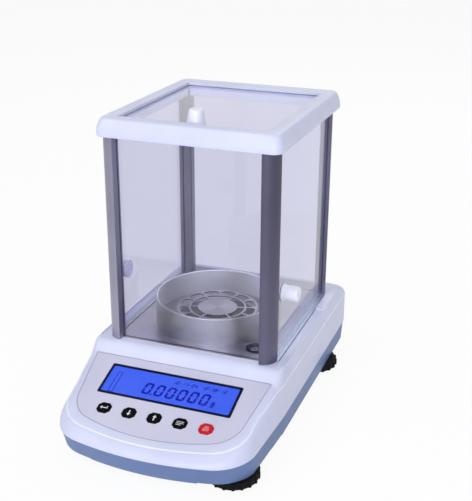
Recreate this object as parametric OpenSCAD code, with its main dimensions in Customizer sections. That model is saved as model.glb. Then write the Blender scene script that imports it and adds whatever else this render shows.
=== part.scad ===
// Semi-micro laboratory balance with a glass draught shield.
// Origin: on the bench, under the middle of the housing. X to the right, Y to the back, Z up.

/* [Housing] */
// Width of the housing at the seam
base_w = 221; // [190:1:260]
// Depth of the housing in front of the draught shield
panel_d = 127.5; // [120:0.1:150]
// Depth of the housing behind the draught shield
rear_d = 26.4; // [22:0.1:60]
// Height of the underside of the lower shell
base_z = 8; // [7:0.5:12]
// How far the rim steps up at the front corners and over the wheels
rim_lift = 2.8; // [2.6:0.1:4]
// Height of the seam between the two shells
seam_z = 32; // [28:0.5:40]
// Height of the flat weighing deck
deck_z = 86; // [78:0.5:100]
// Wall of both shells
wall = 3; // [2:0.1:4]
// Thickness of the housing's top and of the panel
top_wall = 4.5; // [4.2:0.1:6]
// Plan radius of the bowed front
nose_r = 300; // [250:5:500]
// Plan radius of the two front corners
corner_r = 45; // [30:1:55]
// How far the centres of the front corners lie from the middle
corner_x = 61.5; // [50:0.5:66]
// Plan radius of the two rear corners
rear_r = 17; // [16:1:24]
// Angle at which the sides draw in towards the front
side_taper = 3; // [1:0.5:5]
// Width of the rounded shoulder along the sides
edge_w = 11; // [8:0.5:13]
// Width of the rounded nose in front of the panel
nose_w = 19; // [14:0.5:22]
// Drop of the rounded shoulder
edge_drop = 22; // [12:1:28]

/* [Control panel] */
// Slope of the panel
panel_tilt = 17.3; // [10:0.1:24]
// Height of the display's middle
panel_z = 65; // [61:0.1:68]
// Width of the display bezel
bezel_w = 148; // [120:1:160]
// Height of the display bezel along the slope
bezel_h = 42; // [30:1:44]
// Visible border of the bezel
bezel_border = 2; // [1.5:0.1:4]
// Half width of the overlay at its top edge
overlay_half = 99.8; // [90:0.1:101]
// Thickness of the overlay
overlay_t = 0.5; // [0.3:0.1:1]
// Width of a key
key_w = 14.8; // [10:0.1:18]
// Height of a key along the slope
key_h = 13.6; // [10:0.1:16]
// Spacing of the keys
key_pitch = 28; // [22:0.5:29]
// Travel of a key
key_travel = 0.5; // [0.2:0.1:0.8]

/* [Draught shield] */
// Width of the chamber's top frame
cap_w = 200; // [190:1:204]
// How far the top frame reaches behind the rear columns
cap_rear_lip = 9.6; // [6:0.1:14]
// Height of the underside of the top frame
cap_z = 312; // [260:1:360]
// Height of the top frame itself
cap_h = 19; // [16:0.5:24]
// Plan radius of the top frame's corners
cap_r = 11; // [6:0.5:16]
// How far the frame's sides slope inwards
cap_slope = 5.2; // [3:0.1:8]
// Width of the rails beside the window
rail_w = 18.7; // [17:0.1:24]
// Distance from the frame's rear edge to the window
rear_rail = 23.5; // [20:0.1:30]
// Radius of the quarter-round columns
column_r = 15.6; // [14.5:0.1:17]
// Half width over the columns
column_half = 95.7; // [95:0.1:98]
// Height of the lips that guide the side doors
track_lip_h = 0.9; // [0.6:0.1:1.5]
// Width of the recess in the housing beside each door track
recess_w = 6; // [3:0.5:8]
// Depth of that recess
recess_t = 0.9; // [0.5:0.1:1.5]
// How far the front columns stand behind the frame's front edge
column_setback = 2.2; // [1:0.1:4]
// Distance between the inner faces of the front and rear columns
chamber_d = 183.7; // [170:0.1:190]
// Thickness of all glass panes
glass_t = 3; // [2.5:0.1:3.4]
// Play of a sliding pane in its groove, each side
slide_play = 0.3; // [0.2:0.05:0.5]
// Half distance between the middles of the two side doors
door_half = 90; // [89.6:0.1:90.4]
// Height of the top pane's upper face above the frame's underside
top_pane_z = 15; // [13:0.1:15.5]

/* [Door knobs] */
// Diameter of a side knob
knob_d = 17; // [12:0.5:20]
// Length of a side knob
knob_l = 17.5; // [12:0.5:20]
// Distance of the side knobs behind the front columns' inner faces
knob_y = 27; // [20:0.5:60]
// Height of the side knobs above the deck
knob_z = 66.5; // [50:0.5:150]
// Largest diameter of the tapered top knob
top_knob_d = 20; // [16:0.5:24]
// Height of the top knob
top_knob_h = 15; // [10:0.5:20]
// Distance of the top knob behind the front columns' inner faces
top_knob_y = 15; // [13:0.5:60]
// Diameter of the discs that hold the knobs on the glass
disc_d = 20; // [16:0.5:22]

/* [Weighing chamber] */
// Outer diameter of the wind ring
ring_d = 139; // [120:1:145]
// Height of the wind ring
ring_h = 32; // [20:1:40]
// Wall of the wind ring
ring_t = 2; // [1.5:0.1:3]
// Distance of the ring's centre behind the front columns' inner faces
ring_y = 72.9; // [72:0.1:100]
// Height of the floor plate inside the ring
floor_h = 4; // [3:0.5:6]
// Diameter of the weighing pan
pan_d = 92; // [80:1:100]
// Height of the pan's surface above the deck
pan_z = 15; // [13:0.5:20]
// Thickness of the pan
pan_t = 1.2; // [0.8:0.1:2]
// Diameter of the pan's solid centre
pan_disc_d = 44.8; // [36:0.2:46]
// Outer diameter of the inner row of slots
pan_mid_d = 61; // [58:0.5:62]
// Width of the ring between the two rows of slots
pan_mid_w = 2.4; // [2:0.1:4]
// Outer diameter of the outer row of slots
pan_slot_d = 87; // [84:0.5:88]
// Number of outer slots, two for each inner slot
pan_slots = 12; // [8:2:16]
// Width of the pan's spokes
spoke_w = 2.6; // [1.5:0.1:4]
// Angle of the first spoke
spoke_angle = 17; // [0:1:30]
// Diameter of the level's black ring
level_d = 20.6; // [16:0.1:22]
// Distance of the level to the right of the middle
level_x = 65.2; // [60:0.1:70]
// Distance of the level behind the front columns' inner faces
level_y = 18.5; // [14:0.1:22]

/* [Feet] */
// Diameter of a levelling wheel over its ribs
wheel_d = 55; // [44:1:58]
// Thickness of a levelling wheel
wheel_t = 8; // [6:0.1:8.4]
// Number of ribs round a wheel
wheel_ribs = 18; // [10:1:24]
// Radius of a rib
rib_r = 1.8; // [1:0.1:2.5]
// Thickness of the rubber pad under a wheel
pad_t = 2; // [1.5:0.1:2.4]
// Diameter of the threaded stem
stem_d = 8; // [6:0.5:10]
// Distance of the front right foot from the middle
foot_right_x = 82.4; // [78:0.1:86]
// Distance of the front right foot behind the housing's front
foot_right_y = 50.5; // [46:0.1:70]
// Distance of the front left foot from the middle
foot_left_x = 52; // [46:0.1:56]
// Distance of the front left foot behind the housing's front
foot_left_y = 60.3; // [54:0.1:70]
// Half distance between the rear feet
foot_rear_x = 92; // [84:0.1:94]
// Distance of the rear feet in front of the housing's rear
foot_rear_y = 74.1; // [50:0.1:90]

/* [Hidden] */
$fn = 64;
eps = 0.01;
fit = 0.05;
gap = 0.3;

white = "#e4e6f2";
blue = "#6b82b0";
steel = "#a3a3b0";
alu = "#8c8a98";
pane = "#cbcce0";
black = "#16161a";

cap_d = chamber_d + column_setback + 2 * column_r + cap_rear_lip;
base_d = panel_d + cap_d + rear_d;
half_w = base_w / 2;
front_y = -base_d / 2;
rear_y = base_d / 2;
cap_front = -(front_y + panel_d);
column_in_y = -cap_front + column_setback + column_r;
rear_in_y = column_in_y + chamber_d;
column_in_x = column_half - column_r;
cap_top = cap_z + cap_h;
cap_rear = -cap_front + cap_d;
win_half = cap_w / 2 - rail_w;
win_front = -cap_front + rail_w;
win_rear = cap_rear - rear_rail;
ring_cy = column_in_y + ring_y;

// The outline of the housing

nose_c = front_y + nose_r;
corner_c = nose_c - sqrt(pow(nose_r - corner_r, 2) - pow(corner_x, 2));
join_a = atan2(corner_c - nose_c, corner_x);
taper_x0 = corner_x + corner_r * cos(side_taper);
taper_y0 = corner_c - corner_r * sin(side_taper);
taper_y1 = taper_y0 + (half_w - taper_x0) / tan(side_taper);

// The step from the panel up to the deck, and the places of the display and the keys
step_y0 = -cap_front - 15.2;
step_y1 = -cap_front + 2.3;
display_share = 0.65059;
key_share = 0.31451;
panel_y = -(front_y + display_share * panel_d);
key_row = key_share * panel_d;

function side_x(y) = min(half_w, taper_x0 + (y - taper_y0) * tan(side_taper));
function side_n(y) = y < taper_y1 ? [cos(side_taper), -sin(side_taper)] : [1, 0];
function arc(c, r, a0, a1, n, first = 0) = [for (i = [first:n]) let (a = a0 + (a1 - a0) * i / n)
    [c[0] + r * cos(a), c[1] + r * sin(a), cos(a), sin(a)]];

// Points of the right half, front to back, each with its outward normal
half_outline = [
    each arc([0, nose_c], nose_r, -90, join_a, 5),
    each arc([corner_x, corner_c], corner_r, join_a, -side_taper, 9, 1),
    for (i = [0:8]) let (y = step_y0 + (step_y1 - step_y0) * i / 8) [side_x(y), y, each side_n(y)],
    each arc([half_w - rear_r, rear_y - rear_r], rear_r, 0, 90, 4)
];

function smooth(t) = let (s = max(0, min(1, t))) s * s * (3 - 2 * s);
function panel_at(y) = panel_z + (y + panel_y) * tan(panel_tilt);
function top_at(y) = let (s = smooth((y - step_y0) / (step_y1 - step_y0)))
    panel_at(min(y, step_y1)) * (1 - s) + deck_z * s;
function edge_at(p) = edge_w + (nose_w - edge_w) * max(0, -p[3]);
function drop_at(p, down) = min(edge_drop, top_at(p[1]) - down - seam_z - 1);

// A closed loop from the right half and its mirror image
function loop(half) = [each half,
    for (i = [len(half) - 1:-1:1]) [-half[i][0], half[i][1], half[i][2]]];

// A solid through loops of equal count, closed below and above by strips across its width
module loft(rings) {
    m = len(rings[0]);
    h = (m - 1) / 2;
    last = (len(rings) - 1) * m;
    sides = [for (j = [0:len(rings) - 2], i = [0:m - 1])
        let (a = j * m + i, b = j * m + (i + 1) % m)
        each [[a + m, b + m, b], [a + m, b, a]]];
    ends = [for (i = [0:h - 1])
        let (r0 = i, r1 = i + 1, l0 = (m - i) % m, l1 = m - i - 1)
        each concat(i > 0 ? [[r0, l0, l1]] : [], [[r0, l1, r1]])];
    lid = [for (f = ends) [for (v = f) v + last]];
    foot = [for (f = ends) [f[2], f[1], f[0]]];
    polyhedron([for (r = rings) each r], concat(sides, lid, foot));
}

// One loop of the upper form, drawn in by inset and rounded by the angle a
function shell_ring(inset, down, a) = loop([for (p = half_outline)
    let (d = inset + edge_at(p) * (1 - cos(a)), y = p[1] - d * p[3])
    [p[0] - d * p[2], y, top_at(y) - down - drop_at(p, down) * (1 - sin(a))]]);
function flat_ring(inset, z) = loop([for (p = half_outline) [p[0] - inset * p[2], p[1] - inset * p[3], z]]);

module shell_form(inset, down, z0, steps) {
    loft([flat_ring(inset, z0), for (i = [0:steps]) shell_ring(inset, down, 90 * i / steps)]);
}

// The lower tray leans in under the nose and hardly at the sides
function tray_ring(inset, z, z0) = let (t = (seam_z - z) / (seam_z - z0)) loop([for (p = half_outline)
    let (d = inset + t * (1.5 + 8.5 * max(0, -p[3]))) [p[0] - d * p[2], p[1] - d * p[3], z]]);

foot_places = [
    [-foot_left_x, front_y + foot_left_y], [foot_right_x, front_y + foot_right_y],
    [-foot_rear_x, rear_y - foot_rear_y], [foot_rear_x, rear_y - foot_rear_y]
];
stem_top = base_z + 24;
boss_r = stem_d / 2 + 5;
nut_r = stem_d / 2 + 2.5;
tray_floor = 16;
tray_floor_t = wall;
post_top = stem_top + 2;
screw_rows = [[half_w - 22.5, front_y + 38.3], [half_w - 12, rear_y / 2 - 85], [half_w - 12, rear_y - 16]];
screw_places = [for (x = [-1, 1], row = screw_rows) [x * row[0], row[1]]];
screw_d = 3.5;
board_w = 138;
board_d = 84;
board_y = front_y + 88.3;
// Where the rim's step begins at the front and at the sides
lift_x = 57;
lift_y = front_y + 98;

module at_feet() {
    for (p = foot_places) translate([p[0], p[1], 0]) children();
}

module lower_shell() {
    color(blue) difference() {
        union() {
            difference() {
                loft([tray_ring(2.5, base_z, base_z), tray_ring(0, base_z + 3, base_z), tray_ring(0.8, seam_z, base_z)]);
                loft([tray_ring(wall, tray_floor + tray_floor_t, base_z), tray_ring(wall + 0.8, seam_z + 1, base_z)]);
                loft([tray_ring(wall + 1, base_z - 1, base_z), tray_ring(wall + 1, tray_floor, base_z)]);
                at_feet() translate([0, 0, base_z - 1]) cylinder(r = wheel_d / 2 + 3, h = rim_lift + 1);
                for (sx = [-1, 1]) mirror([sx < 0 ? 1 : 0, 0, 0]) translate([lift_x, front_y - 1, base_z - 1])
                    cube([half_w, lift_y - front_y + 1, rim_lift + 1]);
            }
            at_feet() translate([0, 0, tray_floor - 1]) cylinder(r = boss_r, h = stem_top - tray_floor);
            for (p = screw_places) translate([p[0], p[1], tray_floor]) cylinder(r = 5, h = seam_z - 2 - tray_floor);
            for (x = [-1, 1], y = [-1, 1])
                translate([x * (board_w / 2 - 6), board_y + y * (board_d / 2 - 6), tray_floor + 1])
                    cylinder(r = 4, h = post_top - tray_floor - 1);
        }
        at_feet() translate([0, 0, tray_floor - 2]) cylinder(r = nut_r, h = stem_top - tray_floor + 3);
        for (p = screw_places) {
            translate([p[0], p[1], base_z]) cylinder(d = screw_d + 0.6, h = seam_z);
            translate([p[0], p[1], base_z]) cylinder(d = 7.4, h = tray_floor + 5 - base_z);
        }
    }
}

panel_under = -top_wall * cos(panel_tilt);

module on_panel() {
    translate([0, -panel_y, panel_z]) rotate([panel_tilt, 0, 0]) children();
}

module round_rect(w, h, r) {
    for (x = [-1, 1]) for (y = [-1, 1]) translate([x * (w / 2 - r), y * (h / 2 - r)]) circle(r);
    square([w - 2 * r, h], center = true);
    square([w, h - 2 * r], center = true);
}

// Plan of the overlay: a bowed front, two round corners and sides that widen to the back
overlay_corner_r = 34;
overlay_corner_x = 58;
overlay_corner_y = front_y + 61.3;
overlay_nose_r = 230;
overlay_back = step_y0 + 2.5;
overlay_nose_c = overlay_nose_r + front_y + 18.5;
overlay_join_a = atan2(overlay_corner_y - overlay_nose_c, overlay_corner_x);
overlay_side_a = atan2(overlay_half - overlay_corner_x - overlay_corner_r, overlay_back - overlay_corner_y);

module overlay_plan(more) {
    half = [
        each arc([0, overlay_nose_c], overlay_nose_r + more, -90, overlay_join_a, 8),
        each arc([overlay_corner_x, overlay_corner_y], overlay_corner_r + more, overlay_join_a, -overlay_side_a, 10, 1),
        [overlay_half + more, overlay_back + more]
    ];
    polygon([each [for (p = half) [p[0], p[1]]], for (i = [len(half) - 1:-1:1]) [-half[i][0], half[i][1]]]);
}

key_xs = [for (i = [-2:2]) i * key_pitch];
key_foot = panel_under - 1.5;
switch_top = key_foot - key_travel - 0.1;
board_z = panel_under - 5.6;
key_chamfer = 3.6;
lcd_margin = 2;
board_clear = 5.1;
key_board_d = 2 * (key_row - bezel_h / 2 - lcd_margin - board_clear);

module key_plan(more) {
    w = key_w / 2 + more;
    h = key_h / 2 + more;
    c = key_chamfer + more * 0.6;
    polygon([[-w, -h + c], [-w + c, -h], [w - c, -h], [w, -h + c], [w, h - c], [w - c, h], [-w + c, h], [-w, h - c]]);
}

column_foot_z = deck_z - 6;
column_head_z = cap_z + 8;

// Quarter-round plan of a front right column, its inner corner at the origin of the corner
module column_plan(more) {
    translate([column_in_x - more, column_in_y + more]) intersection() {
        circle(column_r + 2 * more);
        translate([0, -column_r - 2 * more]) square(column_r + 2 * more);
    }
}

module at_column(sx, rear) {
    mirror([sx < 0 ? 1 : 0, 0, 0])
        translate([0, rear ? column_in_y + rear_in_y : 0, 0]) mirror([0, rear ? 1 : 0, 0]) children();
}

module at_columns() {
    for (sx = [-1, 1]) for (rear = [false, true]) at_column(sx, rear) children();
}

column_screw_x = column_in_x + 5.2;
column_screw_y = column_in_y - 5.2;
deck_t = 1.5;
track_t = 3;
track_lip_t = 1.3;
deck_front = column_in_y - 8.1;
deck_rear = rear_in_y + 27;
pan_hole_r = 20;
level_cy = column_in_y + level_y;
door_groove = glass_t + 2 * slide_play;
door_foot = deck_z + slide_play;
track_in = door_half - door_groove / 2 - track_lip_t - 0.2;
track_out = column_half + 1;
deck_half = track_in - gap;

module upper_shell() {
    color(white) difference() {
        union() {
            difference() {
                shell_form(0, 0, seam_z, 6);
                shell_form(wall, top_wall, seam_z - 1, 3);
            }
            at_columns() translate([column_in_x - 3, column_in_y - column_r - 2, column_foot_z - 8])
                cube([column_r + 4.5, column_r + 5, deck_z - 2 - column_foot_z + 8]);
            translate([level_x, level_cy, deck_z - 13]) cylinder(d = level_d + 5, h = 11);
            for (p = screw_places) translate([p[0], p[1], seam_z - 2])
                cylinder(r = 5, h = top_at(p[1]) - 2 - seam_z);
            on_panel() for (x = [-1, 1], y = [-1, 1])
                translate([x * 68, -key_row + y * (key_board_d / 2 - 3.5), panel_under - 4]) cylinder(r = 2.5, h = 4.5);
        }
        translate([-deck_half - gap, deck_front - gap, deck_z - deck_t])
            cube([2 * (deck_half + gap), deck_rear - deck_front + 2 * gap, 5]);
        for (sx = [-1, 1]) mirror([sx < 0 ? 1 : 0, 0, 0]) {
            translate([deck_half, column_in_y, deck_z - track_t])
                cube([track_out - deck_half + gap, chamber_d, 5]);
            translate([track_out, column_in_y - 11, deck_z - recess_t])
                cube([recess_w + 8, chamber_d - 33, 5]);
        }
        at_columns() translate([0, 0, column_foot_z]) linear_extrude(20) column_plan(0.1);
        at_columns() translate([column_screw_x, column_screw_y, 60]) cylinder(d = 4.4, h = 30);
        translate([0, ring_cy, 60]) cylinder(r = pan_hole_r, h = 40);
        translate([level_x, level_cy, deck_z - 10]) cylinder(d = level_d + 2 * fit, h = 20);
        for (p = screw_places) translate([p[0], p[1], seam_z - 5]) cylinder(d = screw_d - 0.5, h = 16);
        intersection() {
            translate([0, 0, seam_z]) linear_extrude(80) overlay_plan(0.2);
            on_panel() translate([-120, -100, -overlay_t]) cube([240, 160, 20]);
        }
        on_panel() {
            translate([0, 0, -1.6]) linear_extrude(10) round_rect(bezel_w + 0.4, bezel_h + 0.4, 1.7);
            translate([0, 0, -15]) linear_extrude(20)
                square([bezel_w - 2 * bezel_border + 1, bezel_h - 2 * bezel_border + 1], center = true);
            for (x = key_xs) translate([x, -key_row, -15]) linear_extrude(20) key_plan(gap);
        }
        for (port = port_places) translate([port[0], rear_y - 20, port[1]])
            cube([port[2] + 0.2, 60, port[3] + 0.2], center = true);
    }
}

// Sockets in the rear wall: across, up, width and height
port_places = [[-60, 47, 34, 14], [58, 47, 14, 12]];

module housing_screws() {
    color(steel) for (p = screw_places) {
        translate([p[0], p[1], tray_floor + 2]) cylinder(d = 6.6, h = 3);
        translate([p[0], p[1], tray_floor + 4]) cylinder(d = screw_d - 0.5, h = 22);
    }
}

module deck_plate() {
    color(steel) difference() {
        translate([-deck_half, deck_front, deck_z - deck_t])
            cube([2 * deck_half, deck_rear - deck_front, deck_t]);
        at_columns() translate([0, 0, deck_z - 10]) linear_extrude(20) column_plan(0.2);
        translate([0, ring_cy, deck_z - 10]) cylinder(r = pan_hole_r, h = 20);
        translate([level_x, level_cy, deck_z - 10]) cylinder(d = level_d + 0.6, h = 20);
    }
}

module door_track() {
    color("#b9c4cc") translate([0, column_in_y + gap, deck_z - track_t]) {
        translate([track_in, 0, 0]) cube([track_out - track_in, chamber_d - 2 * gap, track_t]);
        for (x = [door_half - door_groove / 2 - track_lip_t, door_half + door_groove / 2])
            translate([x, 0, 0]) cube([track_lip_t, chamber_d - 2 * gap, track_t + track_lip_h]);
    }
}
module left_door_track() { mirror([1, 0, 0]) door_track(); }
module right_door_track() { door_track(); }

module keypad_overlay() {
    color("#d3d2e2") difference() {
        intersection() {
            translate([0, 0, seam_z]) linear_extrude(80) overlay_plan(0);
            on_panel() translate([-120, -100, -overlay_t]) cube([240, 160, overlay_t]);
        }
        on_panel() {
            translate([0, 0, -5]) linear_extrude(10) round_rect(bezel_w + 0.2, bezel_h + 0.2, 1.6);
            for (x = key_xs) translate([x, -key_row, -5]) linear_extrude(10) key_plan(gap);
        }
    }
}

module display_bezel() {
    color("#06062e") on_panel() translate([0, 0, -1.6]) linear_extrude(2) difference() {
        round_rect(bezel_w, bezel_h, 1.5);
        square([bezel_w - 2 * bezel_border, bezel_h - 2 * bezel_border], center = true);
    }
}

module display_window() {
    color(pane) on_panel() translate([0, 0, -0.9]) linear_extrude(1.1)
        square([bezel_w - 2 * bezel_border, bezel_h - 2 * bezel_border], center = true);
}

module lcd_module() {
    color("#4f74f5") on_panel() {
        translate([0, 0, -1]) mirror([0, 0, 1]) linear_extrude(-panel_under)
            square([bezel_w - 2 * bezel_border - 0.4, bezel_h - 2 * bezel_border - 0.4], center = true);
        translate([0, 0, panel_under - 6]) linear_extrude(6)
            square([bezel_w + 2 * lcd_margin, bezel_h + 2 * lcd_margin], center = true);
    }
}

module key_board() {
    color("#2c6b48") on_panel() {
        translate([0, -key_row, board_z]) linear_extrude(1.6)
            square([4 * key_pitch + 2 * key_w + 2.4, key_board_d], center = true);
        for (x = key_xs) translate([x, -key_row, board_z]) linear_extrude(switch_top - board_z) square(6, center = true);
    }
}

module key_at(i, c) {
    color(c) on_panel() translate([key_xs[i], -key_row, 0]) {
        translate([0, 0, panel_under - 1]) linear_extrude(1 - panel_under + 0.4) key_plan(0);
        translate([0, 0, key_foot]) linear_extrude(1.1) square([key_w + 2.4, key_h + 2.4], center = true);
    }
}
module enter_key() { key_at(0, black); }
module down_key() { key_at(1, black); }
module up_key() { key_at(2, black); }
module menu_key() { key_at(3, black); }
module power_key() { key_at(4, "#d8222e"); }

module main_board() {
    z = post_top;
    color("#2c6b48") translate([0, board_y, z]) {
        linear_extrude(1.6) difference() {
            square([board_w, board_d], center = true);
            for (x = [-1, 1], y = [-1, 1]) translate([x * (board_w / 2 - 6), y * (board_d / 2 - 6)]) circle(d = 3.2);
        }
        translate([0, 5, 1.6]) linear_extrude(1.4) square(14, center = true);
        translate([-40, 12, 1.6]) linear_extrude(1.8) square([10, 18], center = true);
        for (i = [0:2]) translate([30 + 12 * i, 24, 1.6]) cylinder(r = 4, h = 9);
        translate([0, 34, 1.6]) linear_extrude(6) square([40, 8], center = true);
    }
}

module socket_body(port) {
    translate([port[0], rear_y - 12, port[1]]) difference() {
        cube([port[2], 22, port[3]], center = true);
        translate([0, 11, 0]) cube([port[2] - 4, 12, port[3] - 4], center = true);
    }
}

module data_port() {
    color(black) socket_body(port_places[0]);
}

module power_inlet() {
    port = port_places[1];
    color(black) difference() {
        translate([port[0], rear_y - 12, port[1]]) cube([port[2], 22, port[3]], center = true);
        translate([port[0], rear_y, port[1]]) rotate([90, 0, 0]) cylinder(d = 8, h = 12);
    }
    color(steel) translate([port[0], rear_y - 2, port[1]]) rotate([90, 0, 0]) cylinder(d = 2.1, h = 12);
}

module level_cup() {
    color(black) translate([level_x, level_cy, 0]) difference() {
        translate([0, 0, deck_z - 10]) cylinder(d = level_d, h = 11.2);
        translate([0, 0, deck_z - 7]) cylinder(d = level_d - 4.4, h = 12);
    }
}

module level_vial() {
    color(pane) translate([level_x, level_cy, deck_z - 7]) cylinder(d = level_d - 4.4 - 2 * fit, h = 7.6);
}

// The groove for a fixed pane, cut from the inner face of a column
pane_back = 5.9;
pane_seat = 5;
door_seat = 3.5;

module column(rear) {
    color(alu) difference() {
        translate([0, 0, column_foot_z]) linear_extrude(column_head_z - column_foot_z) column_plan(0);
        translate([column_in_x - 5, column_in_y - pane_back, deck_z])
            cube([5 + pane_seat, glass_t + 0.2, cap_z + 3.3 - deck_z]);
        if (rear) translate([door_half - door_groove / 2, column_in_y - column_r - 5, deck_z])
            cube([door_groove, column_r + 10, cap_z + 4.2 - deck_z]);
        else translate([door_half - door_groove / 2, column_in_y - door_seat, deck_z])
            cube([door_groove, door_seat + 5, cap_z + 4.2 - deck_z]);
        translate([column_screw_x, column_screw_y, column_foot_z - 1]) cylinder(d = 3.6, h = 4.5);
    }
}
module front_left_column() { at_column(-1, false) column(false); }
module front_right_column() { at_column(1, false) column(false); }
module rear_left_column() { at_column(-1, true) column(true); }
module rear_right_column() { at_column(1, true) column(true); }

module column_screws() {
    color(steel) at_columns() translate([column_screw_x, column_screw_y, column_foot_z - 11]) {
        cylinder(d = 7, h = 3);
        cylinder(d = 3.6, h = 14);
    }
}

module cap_slice(inset, z) {
    translate([0, (cap_rear - cap_front) / 2, z]) linear_extrude(0.1)
        round_rect(cap_w - 2 * inset, cap_d - 2 * inset, cap_r - inset * 0.5, $fn = 32);
}

pane_top_z = cap_z + top_pane_z;
door_top = cap_z + 3.8;

module top_frame() {
    color(white) difference() {
        hull() {
            cap_slice(0, cap_z);
            cap_slice(0.2, cap_z + cap_h * 0.3);
            cap_slice(1.6, cap_z + cap_h * 0.62);
            cap_slice(cap_slope * 0.62, cap_z + cap_h * 0.86);
            cap_slice(cap_slope, cap_top - 0.1);
        }
        translate([-win_half, win_front, cap_z - 1]) cube([2 * win_half, win_rear - win_front, cap_h + 5]);
        translate([-win_half - 3 - slide_play, win_front - 3, pane_top_z - glass_t - slide_play])
            cube([2 * (win_half + 3 + slide_play), cap_d, door_groove]);
        for (sx = [-1, 1]) mirror([sx < 0 ? 1 : 0, 0, 0])
            translate([door_half - door_groove / 2, column_in_y - door_seat, cap_z - 1])
                cube([door_groove, cap_d, 1 + 4.1]);
        for (rear = [false, true]) at_column(1, rear)
            translate([-column_in_x - pane_seat - 0.1, column_in_y - pane_back, cap_z - 1])
                cube([2 * (column_in_x + pane_seat + 0.1), glass_t + 0.2, 1 + 3.2]);
        at_columns() translate([0, 0, cap_z - 1]) linear_extrude(column_head_z - cap_z + 1) column_plan(0.1);
    }
}

module fixed_pane() {
    color(pane, 0.35) translate([-column_in_x - pane_seat + 0.2, column_in_y - pane_back + 0.1, deck_z])
        cube([2 * (column_in_x + pane_seat - 0.2), glass_t, cap_z + 3 - deck_z]);
}
module front_glass() { fixed_pane(); }
module rear_glass() { at_column(1, true) fixed_pane(); }

knob_cy = column_in_y + knob_y;
knob_cz = deck_z + knob_z;
top_knob_cy = column_in_y + top_knob_y;
door_front = column_in_y - door_seat + 0.3;
door_rear = rear_in_y + 10;

module at_knob() {
    translate([door_half, knob_cy, knob_cz]) rotate([0, 90, 0]) children();
}

module side_door() {
    color(pane, 0.35) difference() {
        translate([door_half - glass_t / 2, door_front, door_foot])
            cube([glass_t, door_rear - door_front, door_top - door_foot]);
        at_knob() cylinder(d = 5, h = 20, center = true);
    }
}

// A turned knob with a rounded end, standing on the outer face of the glass
module knob_form(d, l) {
    rotate_extrude() union() {
        square([d / 2 - 1.5, l]);
        square([d / 2, l - 1.5]);
        translate([d / 2 - 1.5, l - 1.5]) circle(1.5);
        square([d / 2 + 1, 1.2]);
    }
}

module side_knob() {
    color("#eef0ff") at_knob() {
        difference() {
            translate([0, 0, glass_t / 2]) knob_form(knob_d, knob_l);
            translate([0, 0, -5]) cylinder(d = 3, h = 14);
        }
    }
}

module side_disc() {
    color("#c9c8de") at_knob() union() {
        translate([0, 0, -glass_t / 2 - 1.5]) cylinder(d = disc_d, h = 1.5);
        translate([0, 0, -glass_t / 2 - 2.4]) cylinder(d = 5.5, h = 1.2);
        translate([0, 0, -glass_t / 2 - 1]) cylinder(d = 3, h = 9);
    }
}
module left_door() { mirror([1, 0, 0]) side_door(); }
module left_door_knob() { mirror([1, 0, 0]) side_knob(); }
module left_knob_disc() { mirror([1, 0, 0]) side_disc(); }
module right_door() { side_door(); }
module right_door_knob() { side_knob(); }
module right_knob_disc() { side_disc(); }

top_door_front = win_front - 2.7;
top_door_rear = win_rear + 6;

module top_door() {
    color(pane, 0.35) difference() {
        translate([-win_half - 3, top_door_front, pane_top_z - glass_t])
            cube([2 * (win_half + 3), top_door_rear - top_door_front, glass_t]);
        translate([0, top_knob_cy, pane_top_z - 10]) cylinder(d = 5, h = 20);
    }
}

module top_door_knob() {
    color("#eef0ff") translate([0, top_knob_cy, pane_top_z]) difference() {
        rotate_extrude() union() {
            polygon([[0, 0], [top_knob_d / 2, 0], [top_knob_d / 2, 1], [top_knob_d * 0.36, top_knob_h - 1.2],
                [top_knob_d * 0.36 - 1.2, top_knob_h], [0, top_knob_h]]);
            translate([top_knob_d * 0.36 - 1.2, top_knob_h - 1.2]) circle(1.2);
        }
        translate([0, 0, -1]) cylinder(d = 3, h = 9);
    }
}

module top_knob_disc() {
    color("#c9c8de") translate([0, top_knob_cy, pane_top_z - glass_t]) union() {
        translate([0, 0, -1.5]) cylinder(d = disc_d, h = 1.5);
        translate([0, 0, -2.4]) cylinder(d = 5.5, h = 1.2);
        translate([0, 0, -1]) cylinder(d = 3, h = 9);
    }
}

module wind_ring() {
    color(steel) translate([0, ring_cy, deck_z]) rotate_extrude($fn = 128) union() {
        translate([ring_d / 2 - ring_t, 0]) square([ring_t, ring_h - ring_t / 2]);
        translate([ring_d / 2 - ring_t / 2, ring_h - ring_t / 2]) circle(ring_t / 2, $fn = 24);
    }
}

floor_r = ring_d / 2 - ring_t - 0.6;
floor_hole_r = pan_hole_r - 3;

module floor_plate() {
    color(steel) translate([0, ring_cy, deck_z]) rotate_extrude($fn = 128) union() {
        translate([floor_hole_r, floor_h - 1.5]) square([floor_r - floor_hole_r, 1.5]);
        translate([floor_r - 1.5, 0]) square([1.5, floor_h]);
        translate([floor_hole_r, floor_h - 1.5]) square([1.5, 2.5]);
    }
}

pan_bottom = deck_z + pan_z - pan_t;
carrier_z = deck_z + floor_h + 3;
carrier_r = 6;

module spokes(n, w, from) {
    for (i = [0:n - 1]) rotate(spoke_angle + 360 * i / n) translate([from, -w / 2]) square([pan_d, w]);
}

// Round-shouldered slots between the spokes of the outer row
module petals() {
    mid_r = pan_mid_d / 2 + pan_mid_w;
    out_r = pan_slot_d / 2;
    petal_r = out_r * sin(180 / pan_slots) * 0.9;
    difference() {
        intersection() {
            difference() {
                circle(out_r, $fn = 128);
                circle(mid_r, $fn = 128);
            }
            for (i = [0:pan_slots - 1]) rotate(spoke_angle + 360 * (i + 0.5) / pan_slots)
                translate([mid_r + 2, 0]) circle(petal_r);
        }
        spokes(pan_slots, spoke_w, 0);
    }
}

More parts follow.
